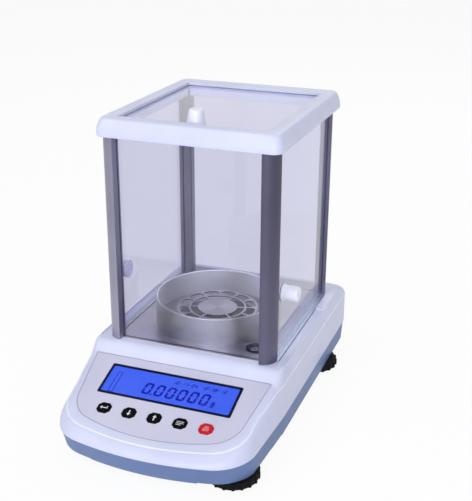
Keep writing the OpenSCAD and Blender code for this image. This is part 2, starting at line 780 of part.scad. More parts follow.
module weighing_pan() {
    color(steel) translate([0, ring_cy, 0]) {
        translate([0, 0, pan_bottom]) linear_extrude(pan_t) difference() {
            circle(d = pan_d, $fn = 128);
            difference() {
                circle(d = pan_mid_d, $fn = 128);
                circle(d = pan_disc_d, $fn = 128);
                spokes(pan_slots / 2, spoke_w, 0);
            }
            petals();
        }
        translate([0, 0, carrier_z]) difference() {
            cylinder(r = carrier_r + 4, h = pan_bottom - carrier_z + eps);
            translate([0, 0, -eps]) cylinder(r1 = carrier_r + 0.08, r2 = carrier_r - 1.5 + 0.08, h = 5);
        }
    }
}

hanger_top = deck_z - 14;
hanger_y = ring_cy;

module pan_carrier() {
    color(alu) translate([0, hanger_y, 0]) union() {
        translate([0, 0, carrier_z - eps]) cylinder(r1 = carrier_r, r2 = carrier_r - 1.5, h = 4.8);
        translate([0, 0, carrier_z - 3]) cylinder(r = carrier_r + 5, h = 3);
        translate([0, 0, hanger_top]) cylinder(r = carrier_r - 1, h = carrier_z - hanger_top);
    }
}

// The weigh cell: a frame with two guide plates, a hanger, a lever on a pin, a coil and its magnet
cell_z = tray_floor + tray_floor_t;
cell_base_t = 8;
cheek_y = ring_cy + 52;
guide_t = 0.8;
lower_guide_z = cell_z + 15;
lever_z = cell_z + 37;
pin_z = lever_z + 4;
pin_y = cheek_y + 10;
lever_reach = 35;
pot_y = pin_y + lever_reach;
pot_r = 20;
coil_r = 13;
cell_w = 84;
cell_d = 150;

module cell_frame() {
    color(alu) difference() {
        union() {
            translate([-cell_w / 2, ring_cy - 18, cell_z]) cube([cell_w, cell_d, cell_base_t]);
            for (sx = [-1, 1]) mirror([sx < 0 ? 1 : 0, 0, 0]) {
                translate([8, cheek_y, cell_z + cell_base_t - eps])
                    cube([22, 20, hanger_top - cell_z - cell_base_t + eps]);
                translate([8, cheek_y - 12, cell_z + cell_base_t - eps])
                    cube([22, 13, lower_guide_z - cell_z - cell_base_t + eps]);
            }
        }
        translate([0, pin_y, pin_z]) rotate([0, 90, 0]) cylinder(r = 2, h = 100, center = true);
        translate([0, ring_cy, cell_z - 1]) cylinder(r = 16, h = 20);
        for (sx = [-1, 1], y = [ring_cy - 10, ring_cy - 26 + cell_d])
            translate([sx * (cell_w / 2 - 7), y, cell_z - 1]) cylinder(d = 4.5, h = 20);
    }
}

// The guide plates are thin leaf springs with their middle cut away
module upper_guide() {
    color("#b8b08a") translate([0, 0, hanger_top]) linear_extrude(guide_t) difference() {
        union() {
            translate([-12, hanger_y - 8]) square([24, 24]);
            polygon([[-12, hanger_y + 15.9], [12, hanger_y + 15.9], [30, cheek_y], [-30, cheek_y]]);
            translate([-30, cheek_y - 0.1]) square([60, 12]);
        }
        translate([0, hanger_y]) circle(r = carrier_r);
        translate([-7, hanger_y + 20]) square([14, cheek_y - hanger_y]);
    }
}

module lower_guide() {
    color("#b8b08a") translate([0, 0, lower_guide_z]) linear_extrude(guide_t) difference() {
        union() {
            translate([-12, hanger_y + 8.5]) square([24, 8]);
            polygon([[-12, hanger_y + 16], [12, hanger_y + 16], [30, cheek_y - 12], [-30, cheek_y - 12]]);
            translate([-30, cheek_y - 12.1]) square([60, 11]);
        }
        translate([-7, hanger_y + 20]) square([14, cheek_y - hanger_y]);
    }
}

module cell_hanger() {
    color(alu) union() {
        translate([-12, hanger_y - 8, cell_z + 2]) cube([24, 16, hanger_top - cell_z - 2]);
        translate([-12, hanger_y - 8, cell_z + 9]) cube([24, 24, lower_guide_z - cell_z - 9]);
    }
}

module cell_lever() {
    color("#c9c9d2") difference() {
        union() {
            translate([-4, hanger_y + 9, lever_z]) cube([8, pot_y - hanger_y - 9, 8]);
            translate([0, pot_y, lever_z]) cylinder(r = coil_r + 1, h = 3);
        }
        translate([0, pin_y, pin_z]) rotate([0, 90, 0]) cylinder(r = 2 + fit, h = 20, center = true);
        for (i = [0:2]) translate([-5, hanger_y + 16 + 11 * i, lever_z + 2]) cube([10, 7, 4]);
    }
}

module lever_pin() {
    color(steel) translate([0, pin_y, pin_z]) rotate([0, 90, 0]) cylinder(r = 2, h = 40, center = true);
}

module cell_coil() {
    color("#b5672f") translate([0, pot_y, lever_z - 12]) difference() {
        cylinder(r = coil_r, h = 12);
        translate([0, 0, -1]) cylinder(r = coil_r - 2, h = 14);
    }
}

module magnet_pot() {
    color("#55565e") translate([0, pot_y, cell_z + cell_base_t]) difference() {
        cylinder(r = pot_r, h = lever_z - 5 - cell_z - cell_base_t);
        translate([0, 0, 6]) difference() {
            cylinder(r = coil_r + 2.5, h = 60);
            translate([0, 0, -1]) cylinder(r = coil_r - 4.5, h = 62);
        }
    }
}

module foot_nuts() {
    color("#c2a24c") at_feet() translate([0, 0, tray_floor - 2]) difference() {
        cylinder(r = nut_r, h = stem_top - tray_floor);
        translate([0, 0, -1]) cylinder(d = stem_d + 2 * fit, h = 60);
    }
}

wheel_z = pad_t + gap;

module wheel(i) {
    p = foot_places[i];
    color(black) translate([p[0], p[1], wheel_z]) difference() {
        union() {
            linear_extrude(wheel_t) union() {
                circle(r = wheel_d / 2 - 0.8 * rib_r);
                for (k = [0:wheel_ribs - 1]) rotate(360 * (k + 0.5) / wheel_ribs)
                    translate([wheel_d / 2 - rib_r, 0]) circle(rib_r, $fn = 24);
            }
            cylinder(d = stem_d, h = stem_top - wheel_z - 6);
        }
        translate([0, 0, -1]) cylinder(d = 6.1, h = 6);
    }
}
module front_left_wheel() { wheel(0); }
module front_right_wheel() { wheel(1); }
module rear_left_wheel() { wheel(2); }
module rear_right_wheel() { wheel(3); }

module pad(i) {
    p = foot_places[i];
    color("#202024") translate([p[0], p[1], 0]) {
        cylinder(d = wheel_d * 0.72, h = pad_t);
        cylinder(d = 6, h = wheel_z + 4.5);
    }
}
module front_left_pad() { pad(0); }
module front_right_pad() { pad(1); }
module rear_left_pad() { pad(2); }
module rear_right_pad() { pad(3); }

lower_shell();
upper_shell();
housing_screws();
deck_plate();
left_door_track();
right_door_track();
keypad_overlay();
display_bezel();
display_window();
lcd_module();
key_board();
enter_key();
down_key();
up_key();
menu_key();
power_key();
main_board();
power_inlet();
data_port();
level_cup();
level_vial();
front_left_column();
front_right_column();
rear_left_column();
rear_right_column();
column_screws();
top_frame();
front_glass();
rear_glass();
left_door();
left_door_knob();
left_knob_disc();
right_door();
right_door_knob();
right_knob_disc();
top_door();
top_door_knob();
top_knob_disc();
wind_ring();
floor_plate();
weighing_pan();
pan_carrier();
cell_frame();
upper_guide();
lower_guide();
cell_hanger();
cell_lever();
lever_pin();
cell_coil();
magnet_pot();
foot_nuts();
front_left_wheel();
front_right_wheel();
rear_left_wheel();
rear_right_wheel();
front_left_pad();
front_right_pad();
rear_left_pad();
rear_right_pad();
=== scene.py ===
import math

import bmesh
import bpy
import numpy as np
from mathutils import Matrix, Vector


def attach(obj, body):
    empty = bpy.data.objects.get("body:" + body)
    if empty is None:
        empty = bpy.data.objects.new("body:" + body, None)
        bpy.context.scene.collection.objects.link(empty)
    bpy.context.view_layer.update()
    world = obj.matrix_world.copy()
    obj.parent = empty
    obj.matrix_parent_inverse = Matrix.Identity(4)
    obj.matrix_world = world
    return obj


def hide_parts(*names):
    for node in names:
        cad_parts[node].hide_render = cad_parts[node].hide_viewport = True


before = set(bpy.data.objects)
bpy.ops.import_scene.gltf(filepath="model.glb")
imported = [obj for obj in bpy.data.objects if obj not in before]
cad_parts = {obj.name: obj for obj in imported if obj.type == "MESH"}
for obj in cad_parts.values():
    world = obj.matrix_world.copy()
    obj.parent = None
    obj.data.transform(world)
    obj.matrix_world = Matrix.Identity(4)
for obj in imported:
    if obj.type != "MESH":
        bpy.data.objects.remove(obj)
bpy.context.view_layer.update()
print("frame loaded")

mm = 0.001


# each channel c of an sRGB hex colour made linear: c / 12.92 up to 0.04045, and above it
# (c + 0.055) / 1.055 to the power 2.4
def hexLinear(code, alpha=1.0):
    c = np.array([int(code[i:i + 2], 16) for i in (1, 3, 5)]) / 255
    lin = np.where(c <= 0.04045, c / 12.92, ((c + 0.055) / 1.055) ** 2.4)
    return (float(lin[0]), float(lin[1]), float(lin[2]), alpha)


# settings go to the node's own properties or to its inputs, links go from sockets to its inputs
def addNode(tree, kind, settings=None, links=None):
    node = tree.nodes.new(kind)
    for key, value in (settings or {}).items():
        if isinstance(key, str) and key not in node.inputs:
            setattr(node, key, value)
        else:
            node.inputs[key].default_value = value
    for key, socket in (links or {}).items():
        tree.links.new(socket, node.inputs[key])
    return node


def newMaterial(name, **shader):
    material = bpy.data.materials.new(name)
    material.use_nodes = True
    tree = material.node_tree
    tree.nodes.clear()
    surface = addNode(tree, "ShaderNodeBsdfPrincipled", shader)
    addNode(tree, "ShaderNodeOutputMaterial", None, {"Surface": surface.outputs[0]})
    place = addNode(tree, "ShaderNodeTexCoord").outputs["Object"]
    return material, tree, surface, place


# moulded plastic: a spark-eroded mould leaves a fine even grain, and the tone drifts a little over a
# hand's width; grain, depth and drift are in millimetres
def mouldedPlastic(name, colour, shade, roughness=0.38, grain=0.7, depth=0.012, drift=70, coat=0.0,
                   gloss=0.5):
    material, tree, surface, place = newMaterial(
        name, **{"IOR": 1.5, "Coat Weight": coat, "Coat Roughness": 0.12, "Specular IOR Level": gloss})
    broad = addNode(tree, "ShaderNodeTexNoise", {"Scale": 1 / (drift * mm), "Detail": 3.0}, {"Vector": place})
    fine = addNode(tree, "ShaderNodeTexNoise", {"Scale": 1 / (grain * mm), "Detail": 2.0}, {"Vector": place})
    level = addNode(tree, "ShaderNodeMapRange", {"From Min": 0.35, "From Max": 0.7},
                    {"Value": broad.outputs["Fac"]})
    tone = addNode(tree, "ShaderNodeMix", {"data_type": "RGBA", 6: hexLinear(colour), 7: hexLinear(shade)},
                   {0: level.outputs[0]})
    rough = addNode(tree, "ShaderNodeMapRange", {"To Min": roughness - 0.05, "To Max": roughness + 0.07},
                    {"Value": fine.outputs["Fac"]})
    bump = addNode(tree, "ShaderNodeBump", {"Strength": 0.35, "Distance": depth * mm},
                   {"Height": fine.outputs["Fac"]})
    tree.links.new(tone.outputs[2], surface.inputs["Base Color"])
    tree.links.new(rough.outputs[0], surface.inputs["Roughness"])
    tree.links.new(bump.outputs[0], surface.inputs["Normal"])
    return material


# brushed metal: long scratches along one way, drawn as noise stretched along it, in the tone and in the
# roughness. stretch is the length of a scratch along x, y and z in millimetres. Turned metal has a centre,
# and its scratches run round it. The fans are painted reflections: their number round the centre, their
# strength and their phase. Within a radius in millimetres the tone takes a tint and a metallic share, a
# painted light where the tint is pale and a painted shade where it is dark. A direction with a start, an end
# and two brightnesses gives painted light and shade that change slowly along it
def brushedMetal(name, colour, shade, stretch, roughness=0.3, spread=0.12, contrast=0.5, centre=None,
                 flow=60, inside=None, paintedFans=None, paintedLightSweep=None):
    material, tree, surface, place = newMaterial(name, Metallic=1.0)
    paintedLightLevels = []
    if paintedLightSweep:
        direction, start, end, low, high = paintedLightSweep
        along = addNode(tree, "ShaderNodeVectorMath", {"operation": "DOT_PRODUCT", 1: direction}, {0: place})
        paintedLightLevels.append(addNode(tree, "ShaderNodeMapRange", {
            "From Min": start * mm, "From Max": end * mm, "To Min": low, "To Max": high},
            {"Value": along.outputs["Value"]}))
    if centre:
        moved = addNode(tree, "ShaderNodeMapping", {"Location": [-v * mm for v in centre]}, {"Vector": place})
        parts = addNode(tree, "ShaderNodeSeparateXYZ", None, {"Vector": moved.outputs[0]})
        flat = addNode(tree, "ShaderNodeCombineXYZ", None, {"X": parts.outputs["X"], "Y": parts.outputs["Y"]})
        radius = addNode(tree, "ShaderNodeVectorMath", {"operation": "LENGTH"}, {0: flat.outputs[0]})
        turned = addNode(tree, "ShaderNodeCombineXYZ", None,
                         {"X": radius.outputs["Value"], "Z": parts.outputs["Z"]})
        place = turned.outputs[0]
        if paintedFans:
            count, strength, phase = paintedFans
            fan = addNode(tree, "ShaderNodeTexGradient", {"gradient_type": "RADIAL"},
                          {"Vector": moved.outputs[0]})
            angle = addNode(tree, "ShaderNodeMath",
                            {"operation": "MULTIPLY_ADD", 1: 2 * math.pi * count, 2: phase},
                            {0: fan.outputs["Fac"]})
            wave = addNode(tree, "ShaderNodeMath", {"operation": "SINE"}, {0: angle.outputs[0]})
            paintedLightLevels.append(addNode(tree, "ShaderNodeMapRange", {
                "From Min": -1.0, "To Min": 1 - strength, "To Max": 1 + strength},
                {"Value": wave.outputs[0]}))
    scaled = addNode(tree, "ShaderNodeMapping", {"Scale": [1 / (v * mm) for v in stretch]}, {"Vector": place})
    lines = addNode(tree, "ShaderNodeTexNoise", {"Scale": 1.0, "Detail": 4.0, "Roughness": 0.65},
                    {"Vector": scaled.outputs[0]})
    soft = addNode(tree, "ShaderNodeTexNoise", {"Scale": 1 / (flow * mm), "Detail": 2.0}, {"Vector": place})
    amount = addNode(tree, "ShaderNodeMath", {"operation": "MULTIPLY", 1: contrast},
                     {0: lines.outputs["Fac"]})
    shadeShare = addNode(tree, "ShaderNodeMath", {"operation": "MULTIPLY_ADD", 1: 0.6},
                         {0: soft.outputs["Fac"], 2: amount.outputs[0]})
    tone = addNode(tree, "ShaderNodeMix", {"data_type": "RGBA", 6: hexLinear(colour), 7: hexLinear(shade)},
                   {0: shadeShare.outputs[0]})
    # within the radius the tint is painted: paler on the ring's inner face as painted light, and darker on
    # the floor below the pan's slots as painted shade
    if inside:
        reach, tint, metallic = inside
        paintedInsideMask = addNode(tree, "ShaderNodeMath", {"operation": "LESS_THAN", 1: reach * mm},
                       {0: radius.outputs["Value"]})
        paintedInsideTone = addNode(tree, "ShaderNodeMix",
                         {"data_type": "RGBA", "blend_type": "MULTIPLY", 0: 0.35, 6: hexLinear(tint)},
                         {7: tone.outputs[2]})
        tone = addNode(tree, "ShaderNodeMix", {"data_type": "RGBA"},
                       {0: paintedInsideMask.outputs[0], 6: tone.outputs[2], 7: paintedInsideTone.outputs[2]})
        dull = addNode(tree, "ShaderNodeMapRange", {"To Min": 1.0, "To Max": metallic},
                       {"Value": paintedInsideMask.outputs[0]})
        tree.links.new(dull.outputs[0], surface.inputs["Metallic"])
    # painted light and shade: the slow change along a direction and the painted fans multiply the tone
    for level in paintedLightLevels:
        tone = addNode(tree, "ShaderNodeMix", {"data_type": "RGBA", "blend_type": "MULTIPLY", 0: 1.0},
                       {6: tone.outputs[2], 7: level.outputs[0]})
    rough = addNode(tree, "ShaderNodeMapRange", {"To Min": roughness - spread, "To Max": roughness + spread},
                    {"Value": lines.outputs["Fac"]})
    bump = addNode(tree, "ShaderNodeBump", {"Strength": 0.25, "Distance": 0.01 * mm},
                   {"Height": lines.outputs["Fac"]})
    tree.links.new(tone.outputs[2], surface.inputs["Base Color"])
    tree.links.new(rough.outputs[0], surface.inputs["Roughness"])
    tree.links.new(bump.outputs[0], surface.inputs["Normal"])
    return material


# float glass: clear with a faint tint, and hardly visible smears from wiping that only change its gloss
def clearGlass(name, tint, roughness=0.0, smear=0.015, ior=1.45):
    material, tree, surface, place = newMaterial(
        name, **{"Base Color": hexLinear(tint), "Transmission Weight": 1.0, "IOR": ior})
    wipe = addNode(tree, "ShaderNodeMapping", {"Scale": (30, 30, 9), "Rotation": (0.3, 0.2, 0.4)},
                   {"Vector": place})
    noise = addNode(tree, "ShaderNodeTexNoise", {"Scale": 1.0, "Detail": 3.0}, {"Vector": wipe.outputs[0]})
    gloss = addNode(tree, "ShaderNodeMapRange",
                    {"From Min": 0.45, "From Max": 0.75, "To Min": roughness, "To Max": roughness + smear},
                    {"Value": noise.outputs["Fac"]})
    tree.links.new(gloss.outputs[0], surface.inputs["Roughness"])
    return material


# ABS: white, grey-blue or black with a broad soft highlight, and a small bright one where it is glossier;
# the crest is also coloured paler than the shell as a painted highlight
whiteAbs = mouldedPlastic("whiteAbsMoulded", "#dde0f4", "#d4d7ed", roughness=0.42, coat=0.12)
whiteFrame = mouldedPlastic("whiteAbsFrame", "#dcdff3", "#d3d6ec", roughness=0.4, coat=0.08)
crestGlossAndPaintedHighlight = mouldedPlastic("whiteAbsGlossyCrestPaintedHighlight", "#eef0fd", "#e8eaf9", roughness=0.22, grain=0.5,
                          depth=0.003, coat=0.3)
blueAbs = mouldedPlastic("greyBlueAbsMoulded", "#6a80ac", "#6278a4", roughness=0.48)
knobAbs = mouldedPlastic("whiteAbsTurned", "#f6f8ff", "#eef0fc", roughness=0.3, grain=0.4, depth=0.004,
                         coat=0.2)
discAbs = mouldedPlastic("paleAbsDisc", "#c9c8de", "#bfbed6", roughness=0.3, grain=0.5, depth=0.004)
blackAbs = mouldedPlastic("blackAbsMoulded", "#050506", "#09090b", roughness=0.6, gloss=0.12)
# silicone keys and printed films: dull, even colour that hardly mirrors the room
keyBlack = mouldedPlastic("blackSiliconeKey", "#020204", "#050507", roughness=0.6, grain=0.3, gloss=0.06)
keyRed = mouldedPlastic("redSiliconeKey", "#d81626", "#c81222", roughness=0.5, grain=0.3, gloss=0.25)
bezelGloss = mouldedPlastic("navyPrintedBezel", "#02052a", "#040833", roughness=0.4, grain=0.4,
                            depth=0.003, gloss=0.1)
overlayFilm = mouldedPlastic("polyesterOverlayMatt", "#d8d7e8", "#d1d0e3", roughness=0.4, grain=0.35,
                             depth=0.006)
overlayEdgeGrey = mouldedPlastic("greyOverlayEdgeLine", "#a2a3b8", "#9a9bb2", roughness=0.45, grain=0.3)
# rubber, board, winding and iron: coarse and dull, or lacquered with a soft shine, and mostly out of view
rubber = mouldedPlastic("blackRubberPad", "#1b1b1e", "#242428", roughness=0.75, grain=0.9, depth=0.05)
boardMask = mouldedPlastic("greenSolderMask", "#2c6b48", "#245a3c", roughness=0.3, grain=1.5, depth=0.03)
coilWire = mouldedPlastic("enamelledCopperWinding", "#b5672f", "#9c5526", roughness=0.35, grain=0.4,
                          depth=0.08)
castIron = mouldedPlastic("machinedIron", "#55565e", "#4a4b52", roughness=0.4, grain=0.5, depth=0.02)
# stainless steel: grain along the deck's width, painted lighter towards the front left and darker towards the
# rear as painted light and shade; turned rings on the pan and round it, with soft bright fans as painted
# reflections; the ring is painted lighter towards the right and on its inner face as painted light, and the
# floor is painted darker below the pan as painted shade
panCentre = (0, 27.9, 0)
deckSteel = brushedMetal("brushedStainlessDeck", "#aeacb4", "#83818a", (60, 0.35, 0.35), roughness=0.34,
                         paintedLightSweep=((-0.3, -1, 0), -150, 70, 0.72, 1.35))
ringSteel = brushedMetal("turnedStainlessRing", "#bcbcbb", "#989897", (0.6, 1, 0.35), roughness=0.4,
                         centre=panCentre, inside=(68.5, "#efeff4", 0.6), paintedFans=(5, 0.2, 5.7),
                         paintedLightSweep=((1, -0.3, 0), -70, 60, 0.95, 1.15))
panSteel = brushedMetal("turnedStainlessPan", "#b0aeb6", "#908e96", (0.4, 1, 1), roughness=0.32,
                        centre=panCentre, paintedFans=(2, 0.16, 0.6))
floorSteel = brushedMetal("turnedStainlessFloor", "#a6a4ae", "#868490", (0.4, 1, 1), roughness=0.32,
                          centre=panCentre, inside=(45.4, "#5a5864", 0.85), paintedFans=(2, 0.12, 2.0))
# anodised aluminium: satin, with fine lines along its length. The columns share one grey, with a painted
# light copy for the front left column and a painted shade copy for the front right one, and each is painted
# brighter low down and darker higher up as painted light and shade
columnAlu = brushedMetal("satinAnodisedAluminium", "#868497", "#636276", (0.5, 0.5, 60), roughness=0.42,
                         paintedLightSweep=((0, 0, 1), 90, 300, 1.25, 0.9))
columnPaintedShade = brushedMetal("satinAnodisedAluminiumPaintedShade", "#676578", "#4a495b", (0.5, 0.5, 60), roughness=0.46,
                           paintedLightSweep=((0, 0, 1), 90, 250, 1.4, 0.9))
columnPaintedLight = brushedMetal("satinAnodisedAluminiumPaintedLight", "#a8a6b9", "#828195", (0.5, 0.5, 60), roughness=0.42,
                          paintedLightSweep=((0, 0, 1), 90, 300, 1.2, 0.95))
trackAlu = brushedMetal("satinAnodisedTrack", "#b3bccb", "#9da6b7", (0.4, 50, 0.4), roughness=0.42)
cellAlu = brushedMetal("milledAluminium", "#b3b3bd", "#9898a2", (6, 0.6, 6), roughness=0.32)
zincSteel = brushedMetal("bluedZincSteel", "#a4a6ae", "#8d8f97", (0.5, 0.5, 4), roughness=0.3)
springBrass = brushedMetal("rolledSpringBrass", "#c9ae6a", "#b29654", (30, 0.5, 0.5), roughness=0.28)
# float glass: clear with a faint cool tint, stronger on the panes that stand darker in the light
shieldGlass = clearGlass("floatGlassPane", "#e9e9f6")
backGlass = clearGlass("floatGlassRearPane", "#e0e0ec")
topGlass = clearGlass("floatGlassTopPane", "#dadaee")
sideGlass = clearGlass("floatGlassSidePane", "#dddef0")
vialGlass = clearGlass("levelVialGlass", "#dfe8dc")
displayGlass = clearGlass("displayCoverMatt", "#f2f4ff", roughness=0.1, ior=1.1)
dialPaint = mouldedPlastic("paleLevelDial", "#d3d8cf", "#c6ccc3", roughness=0.5, grain=0.3)
print("materials made")


# several lists of points and faces as one of each
def joined(parts):
    points, faces, count = [], [], 0
    for part in parts:
        points.append(np.asarray(part[0], float).reshape(-1, 3))
        faces += [tuple(int(v) + count for v in face) for face in part[1]]
        count += len(points[-1])
    return np.vstack(points), faces


# makes one mesh object of the parts, welds points closer than weld and turns the faces outwards
def solidPiece(name, parts, material, body="housing", replaced=(), weld=0.004, smooth=32,
               ride=True):
    points, faces = joined(parts)
    mesh = bpy.data.meshes.new(name)
    mesh.from_pydata((points * mm).tolist(), [], faces)
    work = bmesh.new()
    work.from_mesh(mesh)
    bmesh.ops.remove_doubles(work, verts=work.verts, dist=weld * mm)
    bmesh.ops.dissolve_degenerate(work, edges=work.edges, dist=0.5 * weld * mm)
    bmesh.ops.recalc_face_normals(work, faces=work.faces)
    work.to_mesh(mesh)
    work.free()
    piece = bpy.data.objects.new(name, mesh)
    bpy.context.scene.collection.objects.link(piece)
    shadeSmooth(piece, smooth)
    if material:
        mesh.materials.append(material)
    if ride:
        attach(piece, body)
        if replaced:
            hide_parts(*replaced)
    return piece


def shadeSmooth(piece, angle):
    piece.data.polygons.foreach_set("use_smooth", np.ones(len(piece.data.polygons), bool))
    piece.data.set_sharp_from_angle(angle=math.radians(angle))


# quads between neighbouring rows of a grid of points, closed round when wrap is set
def gridFaces(rows, columns, wrap=True):
    last = columns if wrap else columns - 1
    j, i = np.meshgrid(np.arange(rows - 1), np.arange(last), indexing="ij")
    a = j * columns + i
    b = j * columns + (i + 1) % columns
    return np.stack([a, b, b + columns, a + columns], -1).reshape(-1, 4).tolist()


def gridPart(grid, wrap=True):
    return grid.reshape(-1, 3), gridFaces(grid.shape[0], grid.shape[1], wrap)


# a flat outline carried from z0 to z1, closed with one face at each end and placed by a matrix
def prismPart(outline, z0, z1, place=None):
    outline = np.asarray(outline, float)
    n = len(outline)
    grid = np.concatenate([np.c_[outline, np.full(n, z)] for z in (z0, z1)]).reshape(2, n, 3)
    points, faces = gridPart(grid)
    faces = faces + [tuple(range(n))[::-1], tuple(range(n, 2 * n))]
    if place is not None:
        points = points @ place[:3, :3].T + place[:3, 3]
    return points, faces


# a profile of radius and height turned round z: x = r cos a, y = r sin a
def turnedPart(profile, centre=(0, 0, 0), steps=96, axis="z"):
    profile = np.asarray(profile, float)
    a = np.linspace(0, 2 * np.pi, steps, endpoint=False)
    r, h = profile[:, :1], profile[:, 1:]
    grid = np.stack([r * np.cos(a), r * np.sin(a), h + 0 * a], -1)
    if axis == "x":
        grid = grid[..., [2, 0, 1]]
    if axis == "-x":
        grid = grid[..., [2, 1, 0]] * [-1, 1, 1]
    return gridPart(grid + np.asarray(centre, float))


def boxOutline(x0, x1, y0, y1):
    return [(x0, y0), (x1, y0), (x1, y1), (x0, y1)]


# the two x from inner to outer on one side of the middle, the smaller one first
def sideSpan(side, inner, outer):
    return sorted((side * inner, side * outer))


def circleOutline(x, y, r, steps=64):
    a = np.linspace(0, 2 * np.pi, steps, endpoint=False)
    return np.c_[x + r * np.cos(a), y + r * np.sin(a)]


# four quarter circles of radius r joined by straight sides, from the rear right corner anticlockwise
def roundRect(x0, x1, y0, y1, r, steps=10):
    a = np.linspace(0, np.pi / 2, steps)
    corners = [(x1 - r, y1 - r), (x0 + r, y1 - r), (x0 + r, y0 + r), (x1 - r, y0 + r)]
    return np.concatenate([np.c_[cx + r * np.cos(a + k * np.pi / 2), cy + r * np.sin(a + k * np.pi / 2)]
                           for k, (cx, cy) in enumerate(corners)])


# takes the cutters away from a piece with exact booleans and keeps the result as its mesh
def carve(piece, parts, smooth=32):
    cutters = []
    for k, part in enumerate(parts):
        cutter = solidPiece(piece.name + "Cutter" + str(k), [part], None, ride=False)
        cutters.append(cutter)
        step = piece.modifiers.new("cut" + str(k), "BOOLEAN")
        step.operation = "DIFFERENCE"
        step.solver = "EXACT"
        step.object = cutter
    graph = bpy.context.evaluated_depsgraph_get()
    carved = bpy.data.meshes.new_from_object(piece.evaluated_get(graph))
    piece.modifiers.clear()
    old = piece.data
    piece.data = carved
    bpy.data.meshes.remove(old)
    carved.name = piece.name
    for cutter in cutters:
        mesh = cutter.data
        bpy.data.objects.remove(cutter)
        bpy.data.meshes.remove(mesh)
    shadeSmooth(piece, smooth)
    return piece


# the housing in millimetres: its outline, the width (edge) and fall (drop) of the shoulder's rounding at the
# panel, the nose, the deck and the rear, where along y one gives way to the next, and the step to the deck
shell = dict(halfWidth=110.5, front=-190.3, rear=190.3, seam=32.0, deck=86.0, wall=3.0, topWall=4.5,
             noseRadius=300.0, cornerRadius=45.0, cornerX=61.5, rearRadius=9.0, taper=math.radians(3),
             edge=11.0, drop=22.0, noseEdge=19.0, deckEdge=4.5, deckDrop=17.0, rearEdge=21.0, rearDrop=34.0,
             cornerEdge=12.0, blendStart=-119.0, blendEnd=-48.0, rearStart=100.0, cornerStart=140.0,
             stepStart=-78.0, stepEnd=-60.5)
panel = dict(tilt=math.radians(17.3), y=-107.35, z=65.0)


def arcPoints(cx, cy, r, a0, a1, n):
    a = np.linspace(a0, a1, n)
    return np.c_[cx + r * np.cos(a), cy + r * np.sin(a), np.cos(a), np.sin(a)]


# right half of the housing's outline: bowed nose, round corner, drawn-in side, round rear corner, each
# point with its outward normal
def housingOutline(fine):
    s = shell
    noseC = s["front"] + s["noseRadius"]
    cornerC = noseC - math.sqrt((s["noseRadius"] - s["cornerRadius"]) ** 2 - s["cornerX"] ** 2)
    joint = math.atan2(cornerC - noseC, s["cornerX"])
    x0 = s["cornerX"] + s["cornerRadius"] * math.cos(s["taper"])
    y0 = cornerC - s["cornerRadius"] * math.sin(s["taper"])
    y1 = y0 + (s["halfWidth"] - x0) / math.tan(s["taper"])
    ys = np.concatenate([np.linspace(y0, s["stepStart"], 5 * fine)[1:-1],
                         np.linspace(s["stepStart"], s["stepEnd"], 7 * fine),
                         np.linspace(s["stepEnd"], s["rear"] - s["rearRadius"], 10 * fine)[1:-1]])
    slant = ys < y1
    sides = np.c_[np.minimum(s["halfWidth"], x0 + (ys - y0) * math.tan(s["taper"])), ys,
                  np.where(slant, math.cos(s["taper"]), 1), np.where(slant, -math.sin(s["taper"]), 0)]
    rearX, rearY = s["halfWidth"] - s["rearRadius"], s["rear"] - s["rearRadius"]
    return np.concatenate([
        arcPoints(0, noseC, s["noseRadius"], -np.pi / 2, joint, 6 * fine)[:-1],
        arcPoints(s["cornerX"], cornerC, s["cornerRadius"], joint, -s["taper"], 8 * fine),
        sides,
        arcPoints(rearX, rearY, s["rearRadius"], 0, np.pi / 2, 6 * fine)])


def panelAt(y):
    return panel["z"] + (y - panel["y"]) * math.tan(panel["tilt"])


# height of the housing's top over y: the sloping panel, a soft step, then the flat deck
def topAt(y):
    t = np.clip((y - shell["stepStart"]) / (shell["stepEnd"] - shell["stepStart"]), 0, 1)
    t = t * t * (3 - 2 * t)
    return panelAt(np.minimum(y, shell["stepEnd"])) * (1 - t) + shell["deck"] * t


# share of the way along y between two places of the shell, from 0 to 1
def blend(y, start, end):
    return np.clip((y - shell[start]) / (shell[end] - shell[start]), 0, 1)


# how far the shoulder falls below the top: less beside the deck, more at the rear
def shoulderFall(half, down=0.0):
    s = shell
    drop = s["drop"] + (s["deckDrop"] - s["drop"]) * blend(half[:, 1], "blendStart", "blendEnd")
    drop = drop + (s["rearDrop"] - s["deckDrop"]) * np.maximum(0, half[:, 3]) ** 2
    return np.minimum(drop, topAt(half[:, 1]) - down - s["seam"] - 1)


# the half outline drawn in by inset and rounded by the angle a, as a quarter ellipse of edge width and fall
def shoulderHalf(half, inset, down, a):
    s = shell
    side = s["edge"] + (s["deckEdge"] - s["edge"]) * blend(half[:, 1], "blendStart", "blendEnd")
    edge = side + (s["noseEdge"] - side) * np.maximum(0, -half[:, 3])
    x = half[:, 0] - (inset + edge * (1 - np.cos(a))) * half[:, 2]
    x = x - s["cornerEdge"] * (1 - np.cos(a)) * blend(half[:, 1], "cornerStart", "rear") ** 2
    y = half[:, 1] - (inset + edge * (1 - np.cos(a)) * (half[:, 3] < 0)) * half[:, 3]
    y = y - s["rearEdge"] * (1 - np.cos(a)) * blend(half[:, 1], "rearStart", "rear")
    return np.c_[x, y, topAt(y) - down - shoulderFall(half, down) * (1 - np.sin(a))]


def flatHalf(half, inset, z):
    return np.c_[half[:, :2] - inset * half[:, 2:], np.full(len(half), float(z))]


crossing = np.linspace(1, -1, 25)


# right half, points across the rear edge, then the mirrored half back to the front
def closedLoop(half):
    rear = half[-1] * np.ones((len(crossing) - 2, 3))
    rear[:, 0] *= crossing[1:-1]
    return np.concatenate([half, rear, half[:0:-1] * [-1, 1, 1]])


